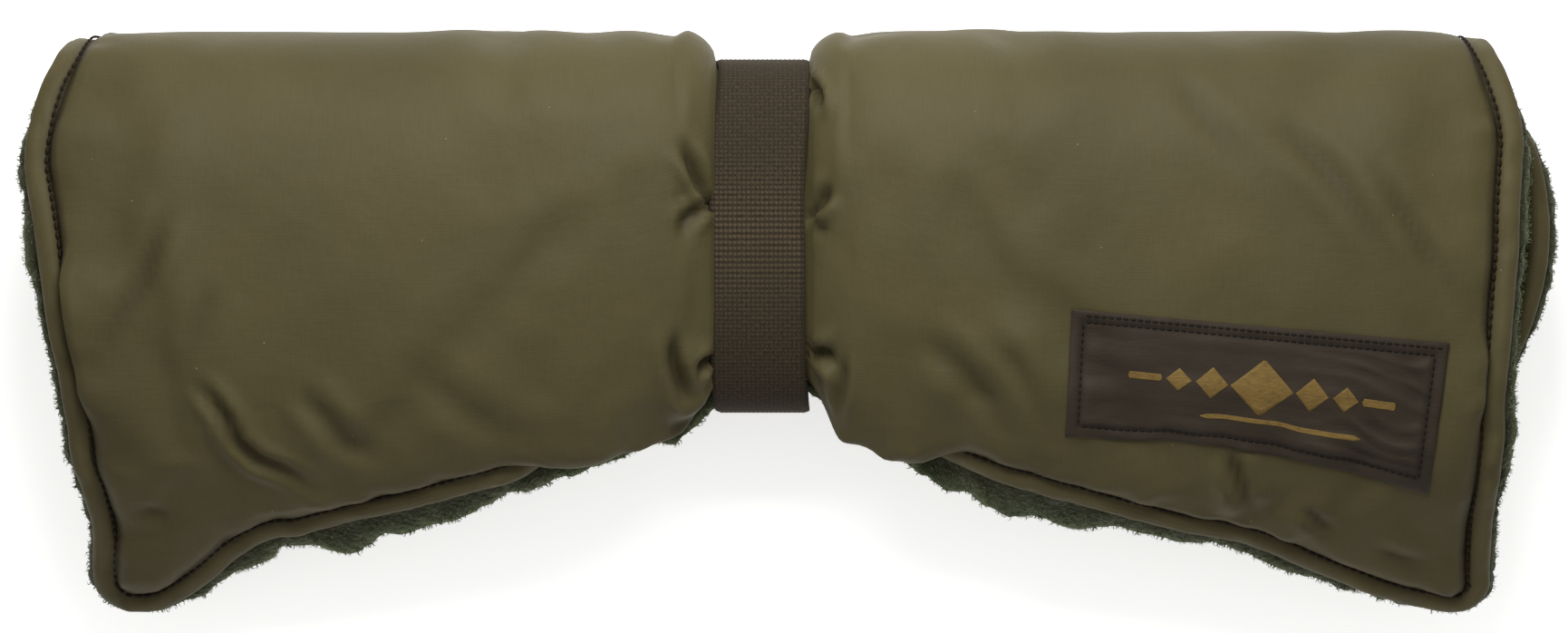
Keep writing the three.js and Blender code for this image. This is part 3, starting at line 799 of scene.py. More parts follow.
def shell_material():
    """Fine nylon cloth, olive brown, with a faint rib along the tube, a soft sheen, and painted shade in its stitching
    groove and creases.
    """
    n = Nodes("shell_fabric")
    uv, place = n.uv(), n.place()
    slub = n.noise(n.stretched(uv, 0.10, 2.4), 1.0, 3.0, 0.6)
    cross = n.noise(n.stretched(uv, 2.6, 0.12), 1.0, 2.0, 0.6)
    rib = n.wave(uv, 0.35, "Y")
    color = n.mix(n.spread(n.noise(place, 0.018, 3.0), 0.3, 0.7), srgb(68, 62, 39), srgb(78, 71, 45))
    color = n.tint(color, (86, 79, 52), 0.24, n.spread(slub, 0.35, 0.75))
    color = n.tint(color, (56, 51, 31), 0.22, n.spread(cross, 0.4, 0.8))
    # Painted shade: darker in the hem's stitching groove, in the creases' valleys and under the turned hem.
    color = n.tint(color, (31, 25, 15), 0.88, n.field("painted_shade"))
    color = n.tint(color, (98, 90, 64), 0.3, n.field("wear"))
    lint = n.add("ShaderNodeTexVoronoi", {"Vector": uv, "Scale": 0.17})
    chosen = n.add("ShaderNodeSeparateColor", {"Color": lint.outputs["Color"]}).outputs[0]
    small = n.math("LESS_THAN", lint.outputs["Distance"], 0.035)
    color = n.tint(color, (150, 140, 110), 0.55, n.math("MULTIPLY", small, n.math("GREATER_THAN", chosen, 0.86)))
    height = n.math("ADD", n.math("MULTIPLY", rib, 0.25), n.math("MULTIPLY", slub, 0.7))
    height = n.math("ADD", height, n.math("MULTIPLY", cross, 0.45))
    soft = n.bump(n.noise(place, 0.16, 3.0, 0.55), 0.5, 0.5)
    rough = n.add("ShaderNodeMapRange", {"Value": slub, "To Min": 0.5, "To Max": 0.66}).outputs[0]
    return n.finish(color, rough, n.bump(height, 0.08, 0.5, soft), 0.13, 0.03, (0.75, 0.7, 0.5))


def pile_material(name, strand=False):
    """Curly knitted pile, with painted shade darkening it between the tufts, and pale at their tips."""
    n = Nodes(name)
    place, lift = n.place(), n.field("lift")
    fine = n.noise(place, 1.3, 3.0, 0.7)
    # Painted shade: the low points between the tufts are darker.
    color = n.mix(n.spread(lift, 0.0, 0.5), srgb(28, 31, 15), srgb(62, 73, 40))
    tips = n.math("ADD", n.math("MULTIPLY", n.spread(lift, 0.4, 1.0), 0.8), n.math("MULTIPLY", fine, 0.5))
    color = n.mix(n.spread(tips, 0.45, 1.25), color, srgb(138, 142, 106))
    color = n.tint(color, (48, 66, 36), 0.3, n.spread(n.noise(place, 0.12), 0.4, 0.7))
    # Painted shade where the pile lies close under the shell's hem.
    color = n.tint(color, (34, 27, 17), 0.85, n.field("painted_shade"))
    normal = None
    if not strand:
        curl = n.add("ShaderNodeTexVoronoi", {"Vector": place, "Scale": 0.7}, feature="SMOOTH_F1")
        height = n.math("SUBTRACT", n.math("MULTIPLY", fine, 0.8), curl.outputs["Distance"])
        normal = n.bump(height, 0.7, 0.9)
    return n.finish(color, 0.95, normal, 0.15, 0.35, (0.7, 0.8, 0.6))


def webbing_material():
    """Woven elastic: dull brown, with painted shade between the ribs and along the selvages."""
    n = Nodes("webbing")
    yarn = n.noise(n.stretched(n.uv(), 3.0, 0.9), 1.0, 2.0, 0.6)
    # Painted shade: darker in the gaps between the raised ribs.
    color = n.mix(n.spread(n.field("lift"), 0.15, 0.95), srgb(32, 26, 18), srgb(82, 71, 53))
    color = n.tint(color, (92, 80, 60), 0.4, n.spread(yarn, 0.4, 0.8))
    color = n.tint(color, (42, 35, 25), 0.25, n.spread(n.noise(n.place(), 0.06), 0.4, 0.7))
    # Painted shade along the selvages and on the band's underside.
    color = n.tint(color, (32, 27, 21), 0.6, n.field("painted_shade"))
    return n.finish(color, 0.82, n.bump(yarn, 0.12, 0.7), 0.15, 0.05, (0.6, 0.55, 0.45))


def label_material():
    """Matt woven label cloth, dark brown, with a fine twill."""
    n = Nodes("label_fabric")
    uv = n.uv()
    slub = n.noise(n.stretched(uv, 0.25, 2.2), 1.0, 3.0, 0.6)
    color = n.mix(n.spread(n.noise(n.place(), 0.05), 0.3, 0.7), srgb(44, 37, 29), srgb(55, 47, 38))
    color = n.tint(color, (68, 59, 47), 0.4, n.spread(slub, 0.4, 0.8))
    # Painted shade in the seam's groove and between the puckers.
    color = n.tint(color, (30, 24, 18), 0.6, n.field("painted_shade"))
    height = n.math("ADD", n.math("MULTIPLY", n.wave(uv, 0.4, "DIAGONAL"), 0.5), slub)
    return n.finish(color, 0.7, n.bump(height, 0.1, 0.6), 0.15, 0.05, (0.6, 0.55, 0.45))


def thread_material(name, color):
    """Twisted polyester thread."""
    n = Nodes(name)
    twist = n.noise(n.place(), 2.2)
    light = srgb(*(int(c * 1.5) + 6 for c in color))
    return n.finish(n.mix(n.spread(twist, 0.3, 0.7), srgb(*color), light), 0.75, n.bump(twist, 0.15, 0.5))


def print_material():
    """Ochre print that the weave shows through, worn thin in places."""
    n = Nodes("label_print")
    slub = n.noise(n.stretched(n.uv(), 0.4, 2.0), 1.0, 3.0, 0.6)
    worn = n.noise(n.place(), 0.5, 3.0, 0.65)
    color = n.mix(n.spread(slub, 0.3, 0.75), srgb(98, 77, 36), srgb(120, 97, 52))
    color = n.tint(color, (72, 59, 36), 0.6, n.spread(worn, 0.52, 0.75))
    return n.finish(color, 0.75, n.bump(slub, 0.12, 0.7), 0.2)


SHELL, PILE, STRAND = shell_material(), pile_material("pile"), pile_material("pile_tips", strand=True)
WEBBING, LABEL, PRINT = webbing_material(), label_material(), print_material()
THREAD, LABEL_THREAD = thread_material("thread", (24, 17, 10)), thread_material("label_thread", (18, 14, 10))

# Shell


def hem_scale(cloth, index):
    """The hem's depths shrink with the pad where the band squeezes it."""
    return section(cloth.reach[index])[3] / END["pad"]


class Fabric:
    """A finished surface over one side's cloth: points, faces, border rows and fields."""

    def __init__(self, cloth, points, faces, flags, rows, uv, fields):
        self.cloth, self.points, self.faces, self.flags = cloth, points, faces, flags
        self.rows, self.uv, self.fields = rows, uv, fields
        self.normals = vertex_normals(points, faces)

    def start_line(self):
        """The cross-section at the end under the band, as point indices, from under the hem to under the inner edge."""
        first = [int(row[0]) for row in self.rows[:0:-1]]
        last = [int(row[-1]) for row in self.rows[1:]]
        return first + [int(v) for v in self.cloth.half_index[:, 0]] + last


def rim_uv(cloth, count):
    border = np.stack([cloth.reach, cloth.wrap], 1)[cloth.border]
    return [border - 1.5 * (k + 1) for k in range(count)]


def make_shell(cloth):
    inward = unit(cloth.inward)
    every = np.arange(len(cloth.base))
    depth = hem_depth(cloth, every, cloth.edge)
    inside_hem = smooth(cloth.edge, 6.5, 13)
    pattern = crease_height(cloth) + gather_height(cloth)
    drape = 0.4 * value_noise(cloth.base * [0.8, 1, 1], 30, SEED) + 0.15 * value_noise(cloth.base, 11, SEED + 1)
    drape *= smooth(cloth.reach, 3, 20)
    seam_pull = value_noise(cloth.base, 5.5, SEED + 2) * np.exp(-(((cloth.edge - 8.5) / 4) ** 2)) * 1.2
    bead_wave = value_noise(cloth.base, 10, SEED + 3) * 0.4 + value_noise(cloth.base, 4.4, SEED + 18) * 0.5
    bead_wave *= 1 - smooth(cloth.edge, 5.5, 6.4)
    height = (pattern + drape) * inside_hem + seam_pull * smooth(cloth.edge, 6.6, 8) + bead_wave
    points = cloth.base + inward * depth[:, None] + cloth.normal * height[:, None]
    low, high, most = OVERHANG[cloth.name]
    over = smooth(cloth.base[:, 1], low, low + 14) * (1 - smooth(cloth.base[:, 1], high - 14, high))
    over *= smooth(cloth.edge, 6.8, 8.4) * (1 - smooth(cloth.edge, 9, 24)) * (cloth.angle > 12)
    over *= cloth.reach > 0.8 * cloth.side["reach"]
    points += (most * over)[:, None] * np.array([cloth.side["sign"], 0.0, 0.45])
    over = tuck(cloth, every) * smooth(cloth.edge, 6.0, 7.8) * (1 - smooth(cloth.edge, 8, 36))
    points[:, 1] -= TUCK_OVERHANG[cloth.name] * over * smooth(cloth.reach, -1, 10)
    points = points + simulate(cloth)
    faces, flags = list(cloth.faces), list(cloth.face_on_flap)
    scale = hem_scale(cloth, cloth.border)
    wave = bead_wave[cloth.border]
    curled = CURL_UNDER * tuck(cloth, cloth.border)
    profile = [(np.full(len(scale), inset), (depth + curled) * scale - wave * 0.5) for inset, depth in HEM_UNDER]
    points, rows = add_rim(cloth, points, faces, flags, profile, cloth.out)
    added = len(points) - len(cloth.base)
    points[:, 2] = np.maximum(points[:, 2], 0.2)
    uv = np.concatenate([np.stack([cloth.reach, cloth.wrap], 1), *rim_uv(cloth, len(profile))])
    # Painted shade: darker in the groove of the topstitching and in the valleys of the creases and gathers; the hem's
    # turned-under rows get a flat share of it.
    painted_shade = np.exp(-(((cloth.edge - 7.0) / 1.0) ** 2)) + np.clip(-pattern / 3.5, 0, 0.6) * inside_hem
    wear = np.exp(-(((cloth.edge - 3.0) / 1.4) ** 2)) * np.clip(0.6 + value_noise(cloth.base, 6, SEED + 4), 0, 1)
    fields = {
        "painted_shade": np.concatenate([np.clip(painted_shade, 0, 1), np.full(added, 0.3)]),
        "wear": np.concatenate([wear, np.zeros(added)]),
    }
    return Fabric(cloth, points, faces, flags, rows, uv, fields)


# Pile lining: how far the pile stands out past the hem, against reach along the front hem and y up the end

FRINGE = {
    "left": {
        "hem": ([0, 6, 12, 17, 40, 56, 70, 110, 136, 150, 175], [4.5, 7.5, 9, 7.2, 7, 6.5, 7.5, 10, 6.5, 2.5, 0.0]),
        "end": ([-81, -60, -40, -24, -8, 20, 38, 50, 60, 81], [-0.6, -0.4, 0.5, 0.9, 0.5, 2.0, 0.8, 0, -0.6, -0.8]),
    },
    "right": {
        "hem": ([0, 12, 27, 38, 52, 60, 75, 88, 100, 140, 170], [1.0, 3.4, 8.5, 10.5, 12, 13.5, 9.5, 6, 5, 4.5, 0.5]),
        "end": ([-81, -55, -50, -20, -10, 8, 30, 56, 66, 81], [-0.6, 0.0, 1.4, 1.8, 0.6, 0.6, 1.0, 0.6, -0.6, -0.8]),
    },
}
INNER_FRINGE = 0.6
# Painted shade on the pile's rim rows: none on the rows that stand out, full on the rows that lie close under the
# shell's hem.
PILE_PAINTED_SHADE = [0, 0, 0, 0.05, 0.2, 0.45, 0.8, 1, 1, 1, 1, 1]
FLARE_TO = (28.0, 62.0)  # beside the band the pile flares out from under the curled hem, over this reach
# The pile's section past the hem: outward as a share of the fringe, then extra inset, and depth
PILE_SECTION = [
    (0.40, 0.0, 13.6),
    (0.72, 0.0, 13.0),
    (0.92, 0.0, 12.2),
    (1.00, 0.0, 11.2),
    (0.97, 0.0, 10.2),
    (0.84, 0.0, 9.3),
    (0.60, 0.0, 8.6),
    (0.28, 0.0, 8.1),
    (0.0, 0.3, 7.8),
    (0.0, 2.2, 7.7),
    (0.0, 4.4, 7.9),
    (0.0, 6.4, 8.1),
]


def fringe_at(cloth):
    """How far the pile stands out at each border point."""
    border = cloth.border
    by_hem = np.interp(cloth.reach[border], *FRINGE[cloth.name]["hem"])
    by_end = np.interp(cloth.base[border][:, 1], *FRINGE[cloth.name]["end"])
    order = np.arange(len(border))
    along_hem = order < cloth.corner_spot
    hidden = cloth.angle[border] < -20
    amount = np.where(along_hem, by_hem, np.where(hidden, INNER_FRINGE, by_end))
    lumpy = 1 + 0.45 * value_noise(cloth.base[border], 9, SEED + 5)
    return amount * lumpy


def make_pile(cloth):
    inward = unit(cloth.inward)
    scale = hem_scale(cloth, np.arange(len(cloth.base)))
    depth = (END["pad"] + 1.5 * (1 - smooth(cloth.edge, 4, 25))) * scale
    points = cloth.base + inward * depth[:, None]
    faces = [face[::-1] for face in cloth.faces]
    flags = list(cloth.face_on_flap)
    outward = fringe_at(cloth)
    border_scale = hem_scale(cloth, cloth.border)
    curled = CURL_UNDER * tuck(cloth, cloth.border)
    on_hem = np.arange(len(cloth.border)) < cloth.corner_spot
    flare = (1 - smooth(cloth.reach[cloth.border], *FLARE_TO)) * on_hem
    away = unit(cloth.out + flare[:, None] * (np.array([0.0, -1.0, -0.3]) - cloth.out))
    rise = 2.0 * flare
    profile = [
        (inset - share * outward, deep * border_scale + curled * (1 - share) - rise * share)
        for share, inset, deep in PILE_SECTION
    ]
    rim_faces, rim_flags = [], []
    points, rows = add_rim(cloth, points, rim_faces, rim_flags, profile, away)
    faces += [face[::-1] for face in rim_faces]
    flags += rim_flags
    normal = vertex_normals(points, faces)
    big = tufts(points, 5.6, SEED + 6)
    small = tufts(points, 2.3, SEED + 7)
    # Where the pile faces the next wrap it is pressed flatter.
    pressed = np.where(cloth.angle > 28, 0.65 * smooth(cloth.edge, 10, 18), 0.0)
    room = 1 - np.concatenate([pressed, np.zeros(len(points) - len(cloth.base))])
    height = (1.5 * big + 1.1 * small - 0.6) * room
    height[np.concatenate(rows[-2:])] = 0
    points = points + normal * height[:, None]
    points[:, 2] = np.maximum(points[:, 2], 0.25)
    uv = np.concatenate([np.stack([cloth.reach, cloth.wrap], 1), *rim_uv(cloth, len(profile))])
    # The rim rows carry painted shade where the shell's hem overhangs them.
    hidden = [np.full(len(cloth.border), share) for share in PILE_PAINTED_SHADE]
    painted_shade = np.concatenate([np.zeros(len(cloth.base)), *hidden])
    # lift is the tufts' height; the material paints shade into its low points.
    fields = {"lift": np.clip(0.65 * big + 0.45 * small - 0.1, 0, 1), "painted_shade": painted_shade}
    return Fabric(cloth, points, faces, flags, rows, uv, fields)


# Strands of the pile: short curled tufts, each a tapered three-sided thread

STRANDS = 15000
STRAND_RINGS = 3


def strand_meshes(fabric):
    """Points, faces and tip shares of the strands on the half and on the free corner."""
    rng = np.random.default_rng(SEED + 20 + (fabric.cloth.side["sign"] > 0))
    quads = [k for k, f in enumerate(fabric.faces) if len(f) == 4]
    faces = np.array([fabric.faces[k] for k in quads])
    flags = np.array([fabric.flags[k] for k in quads])
    corners = fabric.points[faces]
    area = np.linalg.norm(np.cross(corners[:, 2] - corners[:, 0], corners[:, 3] - corners[:, 1]), axis=1) / 2
    edge = np.concatenate([fabric.cloth.edge, np.zeros(len(fabric.points) - len(fabric.cloth.base))])
    near = edge[faces].max(1)
    rim_row = (faces.max(1) - len(fabric.cloth.base)) // len(fabric.cloth.border)
    on_rim = np.where((rim_row >= 1) & (rim_row <= 7), 1.6, 0.3)
    weight = area * np.where(near < 0.5, on_rim, np.where(near < 16, 0.35, 0.05))
    picked = rng.choice(len(faces), STRANDS, p=weight / weight.sum())
    s, t = rng.random((2, STRANDS, 1))
    quad = corners[picked]
    root = lerp(lerp(quad[:, 0], quad[:, 1], s), lerp(quad[:, 3], quad[:, 2], s), t)
    normal = unit(fabric.normals[faces[picked]].mean(1))
    lean = unit(normal + 0.75 * rng.normal(size=(STRANDS, 3)))
    curl = unit(np.cross(lean, rng.normal(size=(STRANDS, 3))))
    length = rng.uniform(0.9, 2.1, (STRANDS, 1))
    radius = rng.uniform(0.11, 0.22, (STRANDS, 1))
    root = root - normal * 0.5
    points, tips = [], []
    across = unit(np.cross(lean, curl))
    bend = rng.uniform(0.25, 0.7, (STRANDS, 1))
    for ring in range(STRAND_RINGS):
        share = ring / STRAND_RINGS
        middle = root + lean * length * share + curl * length * bend * math.sin(math.pi * share)
        for corner in range(3):
            turn = 2 * math.pi * corner / 3
            spoke = curl * math.cos(turn) + across * math.sin(turn)
            points.append(middle + spoke * radius * (1 - 0.6 * share))
            tips.append(np.full(STRANDS, share))
    points.append(root + lean * length)
    tips.append(np.ones(STRANDS))
    each = len(points)
    points = np.stack(points, 1)
    tips = np.stack(tips, 1)
    pattern = [(2, 1, 0)]
    for ring in range(STRAND_RINGS - 1):
        for corner in range(3):
            a, b = ring * 3 + corner, ring * 3 + (corner + 1) % 3
            pattern.append((a, b, b + 3, a + 3))
    top = (STRAND_RINGS - 1) * 3
    pattern += [(top + corner, top + (corner + 1) % 3, each - 1) for corner in range(3)]
    points[..., 2] = np.maximum(points[..., 2], 0.1)
    made = {}
    for flag in (False, True):
        chosen = np.nonzero(flags[picked] == flag)[0]
        some = points[chosen].reshape(-1, 3)
        # Painted shade: the strands are darker toward their roots.
        lift = 0.2 + 0.8 * tips[chosen].reshape(-1)
        made[flag] = (some, [tuple(n * each + v for v in face) for n in range(len(chosen)) for face in pattern], lift)
    return made


def merged(parts):
    """One list of points and one of faces from several parts."""
    points, faces = [], []
    for some, more in parts:
        faces += [tuple(v + len(points) for v in face) for face in more]
        points += some.tolist()
    return points, faces


def plain_piece(name, points, faces, material, fields=None, uv=None):
    points = np.asarray(points, float)
    if uv is None:
        uv = points[:, :2]
    return split_piece(name, points, faces, [True] * len(faces), uv, fields or {}, material, None)


# Stitches: short capsules of thread along a path


def capsules(path, up, pitch, length, radius, rise=0.0, sides=6, rings=5):
    """Points and faces of stitches along a path of points with an up direction at each."""
    along = along_line(path)
    points, faces, centres = [], [], []
    for start in np.arange(pitch * 0.3, along[-1] - length, pitch):
        first = len(points)
        middle = start + length / 2
        lift = unit(read_at(middle, along, up))
        forward = unit(read_at(start + length, along, path) - read_at(start, along, path))
        side = unit(np.cross(forward, lift))
        for ring in range(rings):
            share = ring / (rings - 1)
            bulge = math.sin(math.pi * (0.08 + 0.84 * share)) ** 0.5
            spot = read_at(start + length * share, along, path) + lift * (rise + radius * 0.9 * (bulge - 0.75))
            for corner in range(sides):
                turn = 2 * math.pi * corner / sides
                points.append(spot + (side * math.cos(turn) + lift * math.sin(turn) * 0.8) * radius * bulge)
        for ring in range(rings - 1):
            for corner in range(sides):
                a = first + ring * sides + corner
                b = first + ring * sides + (corner + 1) % sides
                faces.append((a, b, b + sides, a + sides))
        faces.append(tuple(first + k for k in range(sides))[::-1])
        faces.append(tuple(first + (rings - 1) * sides + k for k in range(sides)))
        centres += [middle] * (len(faces) - len(centres))
    return np.array(points), faces, np.array(centres), along


def hem_stitching(cloth, part):
    """The topstitching of the half or of the free corner."""
    border = cloth.border
    last = np.nonzero(np.arange(len(border)) > cloth.corner_spot)[0]
    end = last[0] + len(cloth.flap_index) + cloth.shape[0] - 3
    inward = unit(cloth.inward[border])
    depth = hem_depth(cloth, border, STITCH_INSET) - 0.4
    path = cloth.base[border] - cloth.out * STITCH_INSET
    tree = KDTree(len(cloth.base))
    for k, point in enumerate(cloth.base):
        tree.insert(point, k)
    tree.balance()
    near = np.array([tree.find(point)[1] for point in path])
    off = ((cloth.base[near] - path) * cloth.normal[near]).sum(1)
    path += cloth.normal[near] * off[:, None] + inward * depth[:, None]
    path[:, 2] = np.maximum(path[:, 2], 0.6)
    keep = (np.arange(len(border)) < end) & (cloth.reach[border] > 1.0) & (tuck(cloth, border) < 0.4)
    path, up, flags = path[keep], cloth.normal[border][keep], cloth.border_on_flap[keep]
    points, faces, centres, along = capsules(path, up, 2.6, 2.05, 0.5, 0.3)
    on_flap = np.interp(centres, along, flags.astype(float)) > 0.5
    chosen = [face for face, flag in zip(faces, on_flap) if flag == part]
    return points, chosen


CLOTHS = {name: Cloth(name) for name in SIDES}
FABRICS = {name: (make_shell(cloth), make_pile(cloth)) for name, cloth in CLOTHS.items()}

# Pieces of the halves and free corners


def bend_half(piece, name):
    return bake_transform(piece)


def bend_flap(piece, name):
    side = SIDES[name]
    reaches = np.array([FLAP_FROM, side["reach"]])
    line = np.stack([side["sign"] * (BAND_WIDTH / 2 + reaches), fold_line_y(side, reaches), [FLAP_Z] * 2], 1)
    forward = unit(line[1] - line[0])
    slope = math.radians(FLAP_SLOPE)
    down = np.array([0, -math.cos(slope), -math.sin(slope)])
    down = unit(down - forward * (down @ forward))
    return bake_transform(piece)


def finish_soft(piece, name, on_flap, nodes):
    (bend_flap if on_flap else bend_half)(piece, name)
    if nodes:
        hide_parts(*nodes)
    return piece


def fabric_piece(fabric, name, on_flap, material):
    keep = [flag == on_flap for flag in fabric.flags]
    return split_piece(name, fabric.points, fabric.faces, keep, fabric.uv, fabric.fields, material, fabric.normals)


for name, (shell, pile) in FABRICS.items():
    strands = strand_meshes(pile)
    for on_flap in (False, True):
        part = f"{name}_flap" if on_flap else name
        piece = fabric_piece(shell, f"{part}_shell_cloth", on_flap, SHELL)
        finish_soft(piece, name, on_flap, [f"{part}_shell", f"{part}_batting"])
        piece = fabric_piece(pile, f"{part}_pile_lining", on_flap, PILE)
        points, faces, lift = strands[on_flap]
        tips = plain_piece(f"{part}_pile_tips", points, faces, STRAND, {"lift": lift})
        finish_soft(piece, name, on_flap, [f"{part}_lining"])
        finish_soft(tips, name, on_flap, [])
        points, faces = hem_stitching(CLOTHS[name], on_flap)
        used = np.unique([v for face in faces for v in face])
        local = {int(v): k for k, v in enumerate(used)}
        faces = [tuple(local[v] for v in face) for face in faces]
        piece = plain_piece(f"{part}_hem_stitches", points[used], faces, THREAD)
        finish_soft(piece, name, on_flap, [f"{part}_stitching"])

# Waist: the cinched middle, between the two halves' cross-sections under the band


def waist_piece(name, kind, material, fields_name):
    left, right = (FABRICS[side][kind] for side in ("left", "right"))
    lines = [fabric.points[fabric.start_line()] for fabric in (left, right)]
    stations = np.linspace(0, 1, 8)
    points = np.concatenate([lerp(lines[0], lines[1], t) for t in stations])
    count = len(lines[0])
    faces = []
    for k in range(len(stations) - 1):
        for i in range(count - 1):
            a, b = k * count + i, (k + 1) * count + i
            faces.append((a, b, b + 1, a + 1) if kind == 0 else (a, a + 1, b + 1, b))
    field = np.tile(left.fields[fields_name][left.start_line()], len(stations))
    uv = np.stack([points[:, 0], np.tile(np.arange(count) * 1.3, len(stations))], 1)
    piece = plain_piece(name, points, faces, material, {fields_name: field, "wear": field * 0}, uv)
    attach(piece, "waist")
    return piece


# The waist's shell takes the left shell's painted shade across its start line.
piece = waist_piece("waist_shell_cloth", 0, SHELL, "painted_shade")
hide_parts("waist_shell", "waist_batting")
# The waist's pile takes the tufts' heights, which its material paints darker in the hollows as shade.
piece = waist_piece("waist_pile_lining", 1, PILE, "lift")
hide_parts("waist_lining")

# Elastic band: a woven loop with real ribs, lapped and bartacked at the back

RIB_PITCH, YARN_PITCH, RIB_HEIGHT = 1.1, 1.25, 0.36
STRETCH = {"at": 24.0, "over": 16.0, "pitch": 0.5}  # the ribs stand wider apart on this stretch of the front
BAND_DRAWN = ([-22, -12, 14, 34, 52, 72], [-0.5, -1.3, -1.2, -1.6, -0.5, 0.9])  # sideways shift on the front, against y
STRAP_COLUMNS = 76
LAP, LAP_THICK, LAP_NARROWER = 30.0, 1.1, 0.985


def waist_loop(height, step):
    """Points, outward directions and distances round the waist at this height over the fabric."""
    angles = np.radians(np.arange(0, 360, 0.25))
    middle, a, b, _ = section(0.0)
    y, z = (a + height) * powered(np.cos(angles)), (b + height) * powered(np.sin(angles))
    line = np.stack([middle + y, AXIS_Z + z], 1)
    closed = np.concatenate([line, line[:1]])
    along = along_line(closed)
    s = np.linspace(0, along[-1], int(along[-1] / step), endpoint=False)
    points = read_at(s, along, closed)
    tangent = np.roll(points, -1, 0) - np.roll(points, 1, 0)
    return points, unit(np.stack([tangent[:, 1], -tangent[:, 0]], 1)), s


def rib_phase(points2, s):
    """Number of ribs up to each distance round the loop."""
    on_front = points2[:, 1] > AXIS_Z
    wide = np.exp(-(((points2[:, 0] - STRETCH["at"]) / STRETCH["over"]) ** 2)) * on_front
    return np.cumsum(np.gradient(s) / (RIB_PITCH + STRETCH["pitch"] * wide)), wide


def weave_height(phase, x):
    """Rows of yarn crossed by finer ones."""
    rib = (0.5 + 0.5 * np.cos(2 * math.pi * phase)) ** 0.7
    ridge = 0.5 + 0.5 * np.cos(2 * math.pi * x / YARN_PITCH)
    return rib * (0.3 + 0.7 * ridge)


def band_face(points2, out2, s, low, high):
    """A grid across the band: rows round the loop, columns from edge to edge."""
    x = lerp(low[:, None], high[:, None], np.linspace(0, 1, STRAP_COLUMNS)[None])
    phase, wide = rib_phase(points2, s)
    weave = weave_height(phase[:, None], x) * (0.5 + 0.5 * wide[:, None])
    edge = np.minimum(x - low[:, None], high[:, None] - x)
    tucked = 0.5 * (1 - smooth(edge, 0, 1.4))
    spot = points2[:, None] + out2[:, None] * (RIB_HEIGHT * weave - tucked)[..., None]
    return np.concatenate([x[..., None], spot], -1), weave, edge


def band_width_at(s):
    """Edges of the band; on the front it is drawn a little to the left."""
    spot = np.stack([s, s * 0, s * 0], -1)
    y, z = (np.interp(s, loop_s, loop[:, k]) for k in (0, 1))
    drawn = np.interp(y, *BAND_DRAWN) * smooth(z, AXIS_Z, AXIS_Z + 12)
    low = drawn - BAND_WIDTH / 2 - 0.5 + 0.3 * value_noise(spot, 17, SEED + 8)
    high = drawn + BAND_WIDTH / 2 + 0.4 + 0.3 * value_noise(spot, 14, SEED + 9)
    return low, high


def strap(name, points2, out2, s, thick, width_at, closed_loop):
    low, high = width_at(s)
    top, weave, edge = band_face(points2, out2, s, low, high)
    under = points2 - out2 * thick
    bottom = np.stack([np.concatenate([x[:, None], under], 1) for x in (high, low)], 1)
    ring = np.concatenate([top, bottom], 1)
    rows, around = ring.shape[:2]
    faces = []
    for i in range(rows if closed_loop else rows - 1):
        for j in range(around):
            a, b = i * around, ((i + 1) % rows) * around
            k = (j + 1) % around
            faces.append((a + j, b + j, b + k, a + k))
    if not closed_loop:
        faces.append(tuple(range(around)))
        faces.append(tuple((rows - 1) * around + j for j in range(around))[::-1])
    # The weave's height, which the material paints darker in the gaps as shade, and painted shade along the selvages
    # and on the underside.
    lift = np.concatenate([weave, np.zeros((rows, 2))], 1).ravel()
    painted_shade = np.concatenate([1 - smooth(edge, 0.2, 1.6), np.ones((rows, 2)) * 0.5], 1).ravel()
    uv = np.stack([ring[..., 0].ravel(), np.repeat(s, around)], 1)
    return plain_piece(name, ring.reshape(-1, 3), faces, WEBBING, {"lift": lift, "painted_shade": painted_shade}, uv)


loop, loop_out, loop_s = waist_loop(BAND_FLOAT + BAND_THICK - 0.1, 0.36)
band = strap("elastic_band", loop, loop_out, loop_s, BAND_THICK - 0.2, band_width_at, True)
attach(band, "waist")
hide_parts("waist_band")

# The loop's ends lap at the middle of the back.
lap_at = float(loop_s[np.argmin(np.hypot(loop[:, 0] - section(0.0)[0], loop[:, 1] + 20))])
near = np.abs(loop_s - lap_at) < LAP / 2
ends = np.minimum(1.0, (LAP / 2 - np.abs(loop_s[near] - lap_at)) / 1.5)
lap_points = loop[near] + loop_out[near] * (0.25 + (BAND_THICK - 0.4) * np.sqrt(np.clip(ends, 0, 1)))[:, None]
lap_width_at = lambda s: tuple(v * LAP_NARROWER for v in band_width_at(s))
lap = strap("band_lap", lap_points, loop_out[near], loop_s[near], LAP_THICK, lap_width_at, False)
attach(lap, "waist")
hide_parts("band_overlap")


def bartack_path():
    """A sewn box with a cross in it."""
    w, h = BAND_WIDTH / 2 - 2.6, LAP / 2 - 3.5
    corners = [(-w, -h), (w, -h), (w, h), (-w, h), (-w, -h), (w, h), (w, -h), (-w, h)]
    return [np.linspace(a, b, 12) for a, b in zip(np.array(corners[:-1], float), np.array(corners[1:], float))]


tack_legs = []
for leg in bartack_path():
    s = lap_at + leg[:, 1]
    spot = read_at(s, loop_s, loop + loop_out * (BAND_THICK + 0.05))
    up = np.concatenate([leg[:, :1] * 0, read_at(s, loop_s, loop_out)], 1)
    tack_legs.append(capsules(np.concatenate([leg[:, :1], spot], 1), up, 2.1, 1.7, 0.34)[:2])
tack = plain_piece("band_bartack_stitches", *merged(tack_legs), THREAD)
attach(tack, "waist")
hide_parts("band_bartack")

# Label patch, on the right half's front

LABEL_CORNERS = np.array([[71.5, 4.5], [174.0, -4.7], [169.0, -45.5], [70.0, -29.7]])
LABEL_INSET, LABEL_THICK = 3.4, 0.7
LABEL_LENGTH, LABEL_HEIGHT = 103.0, 38.0


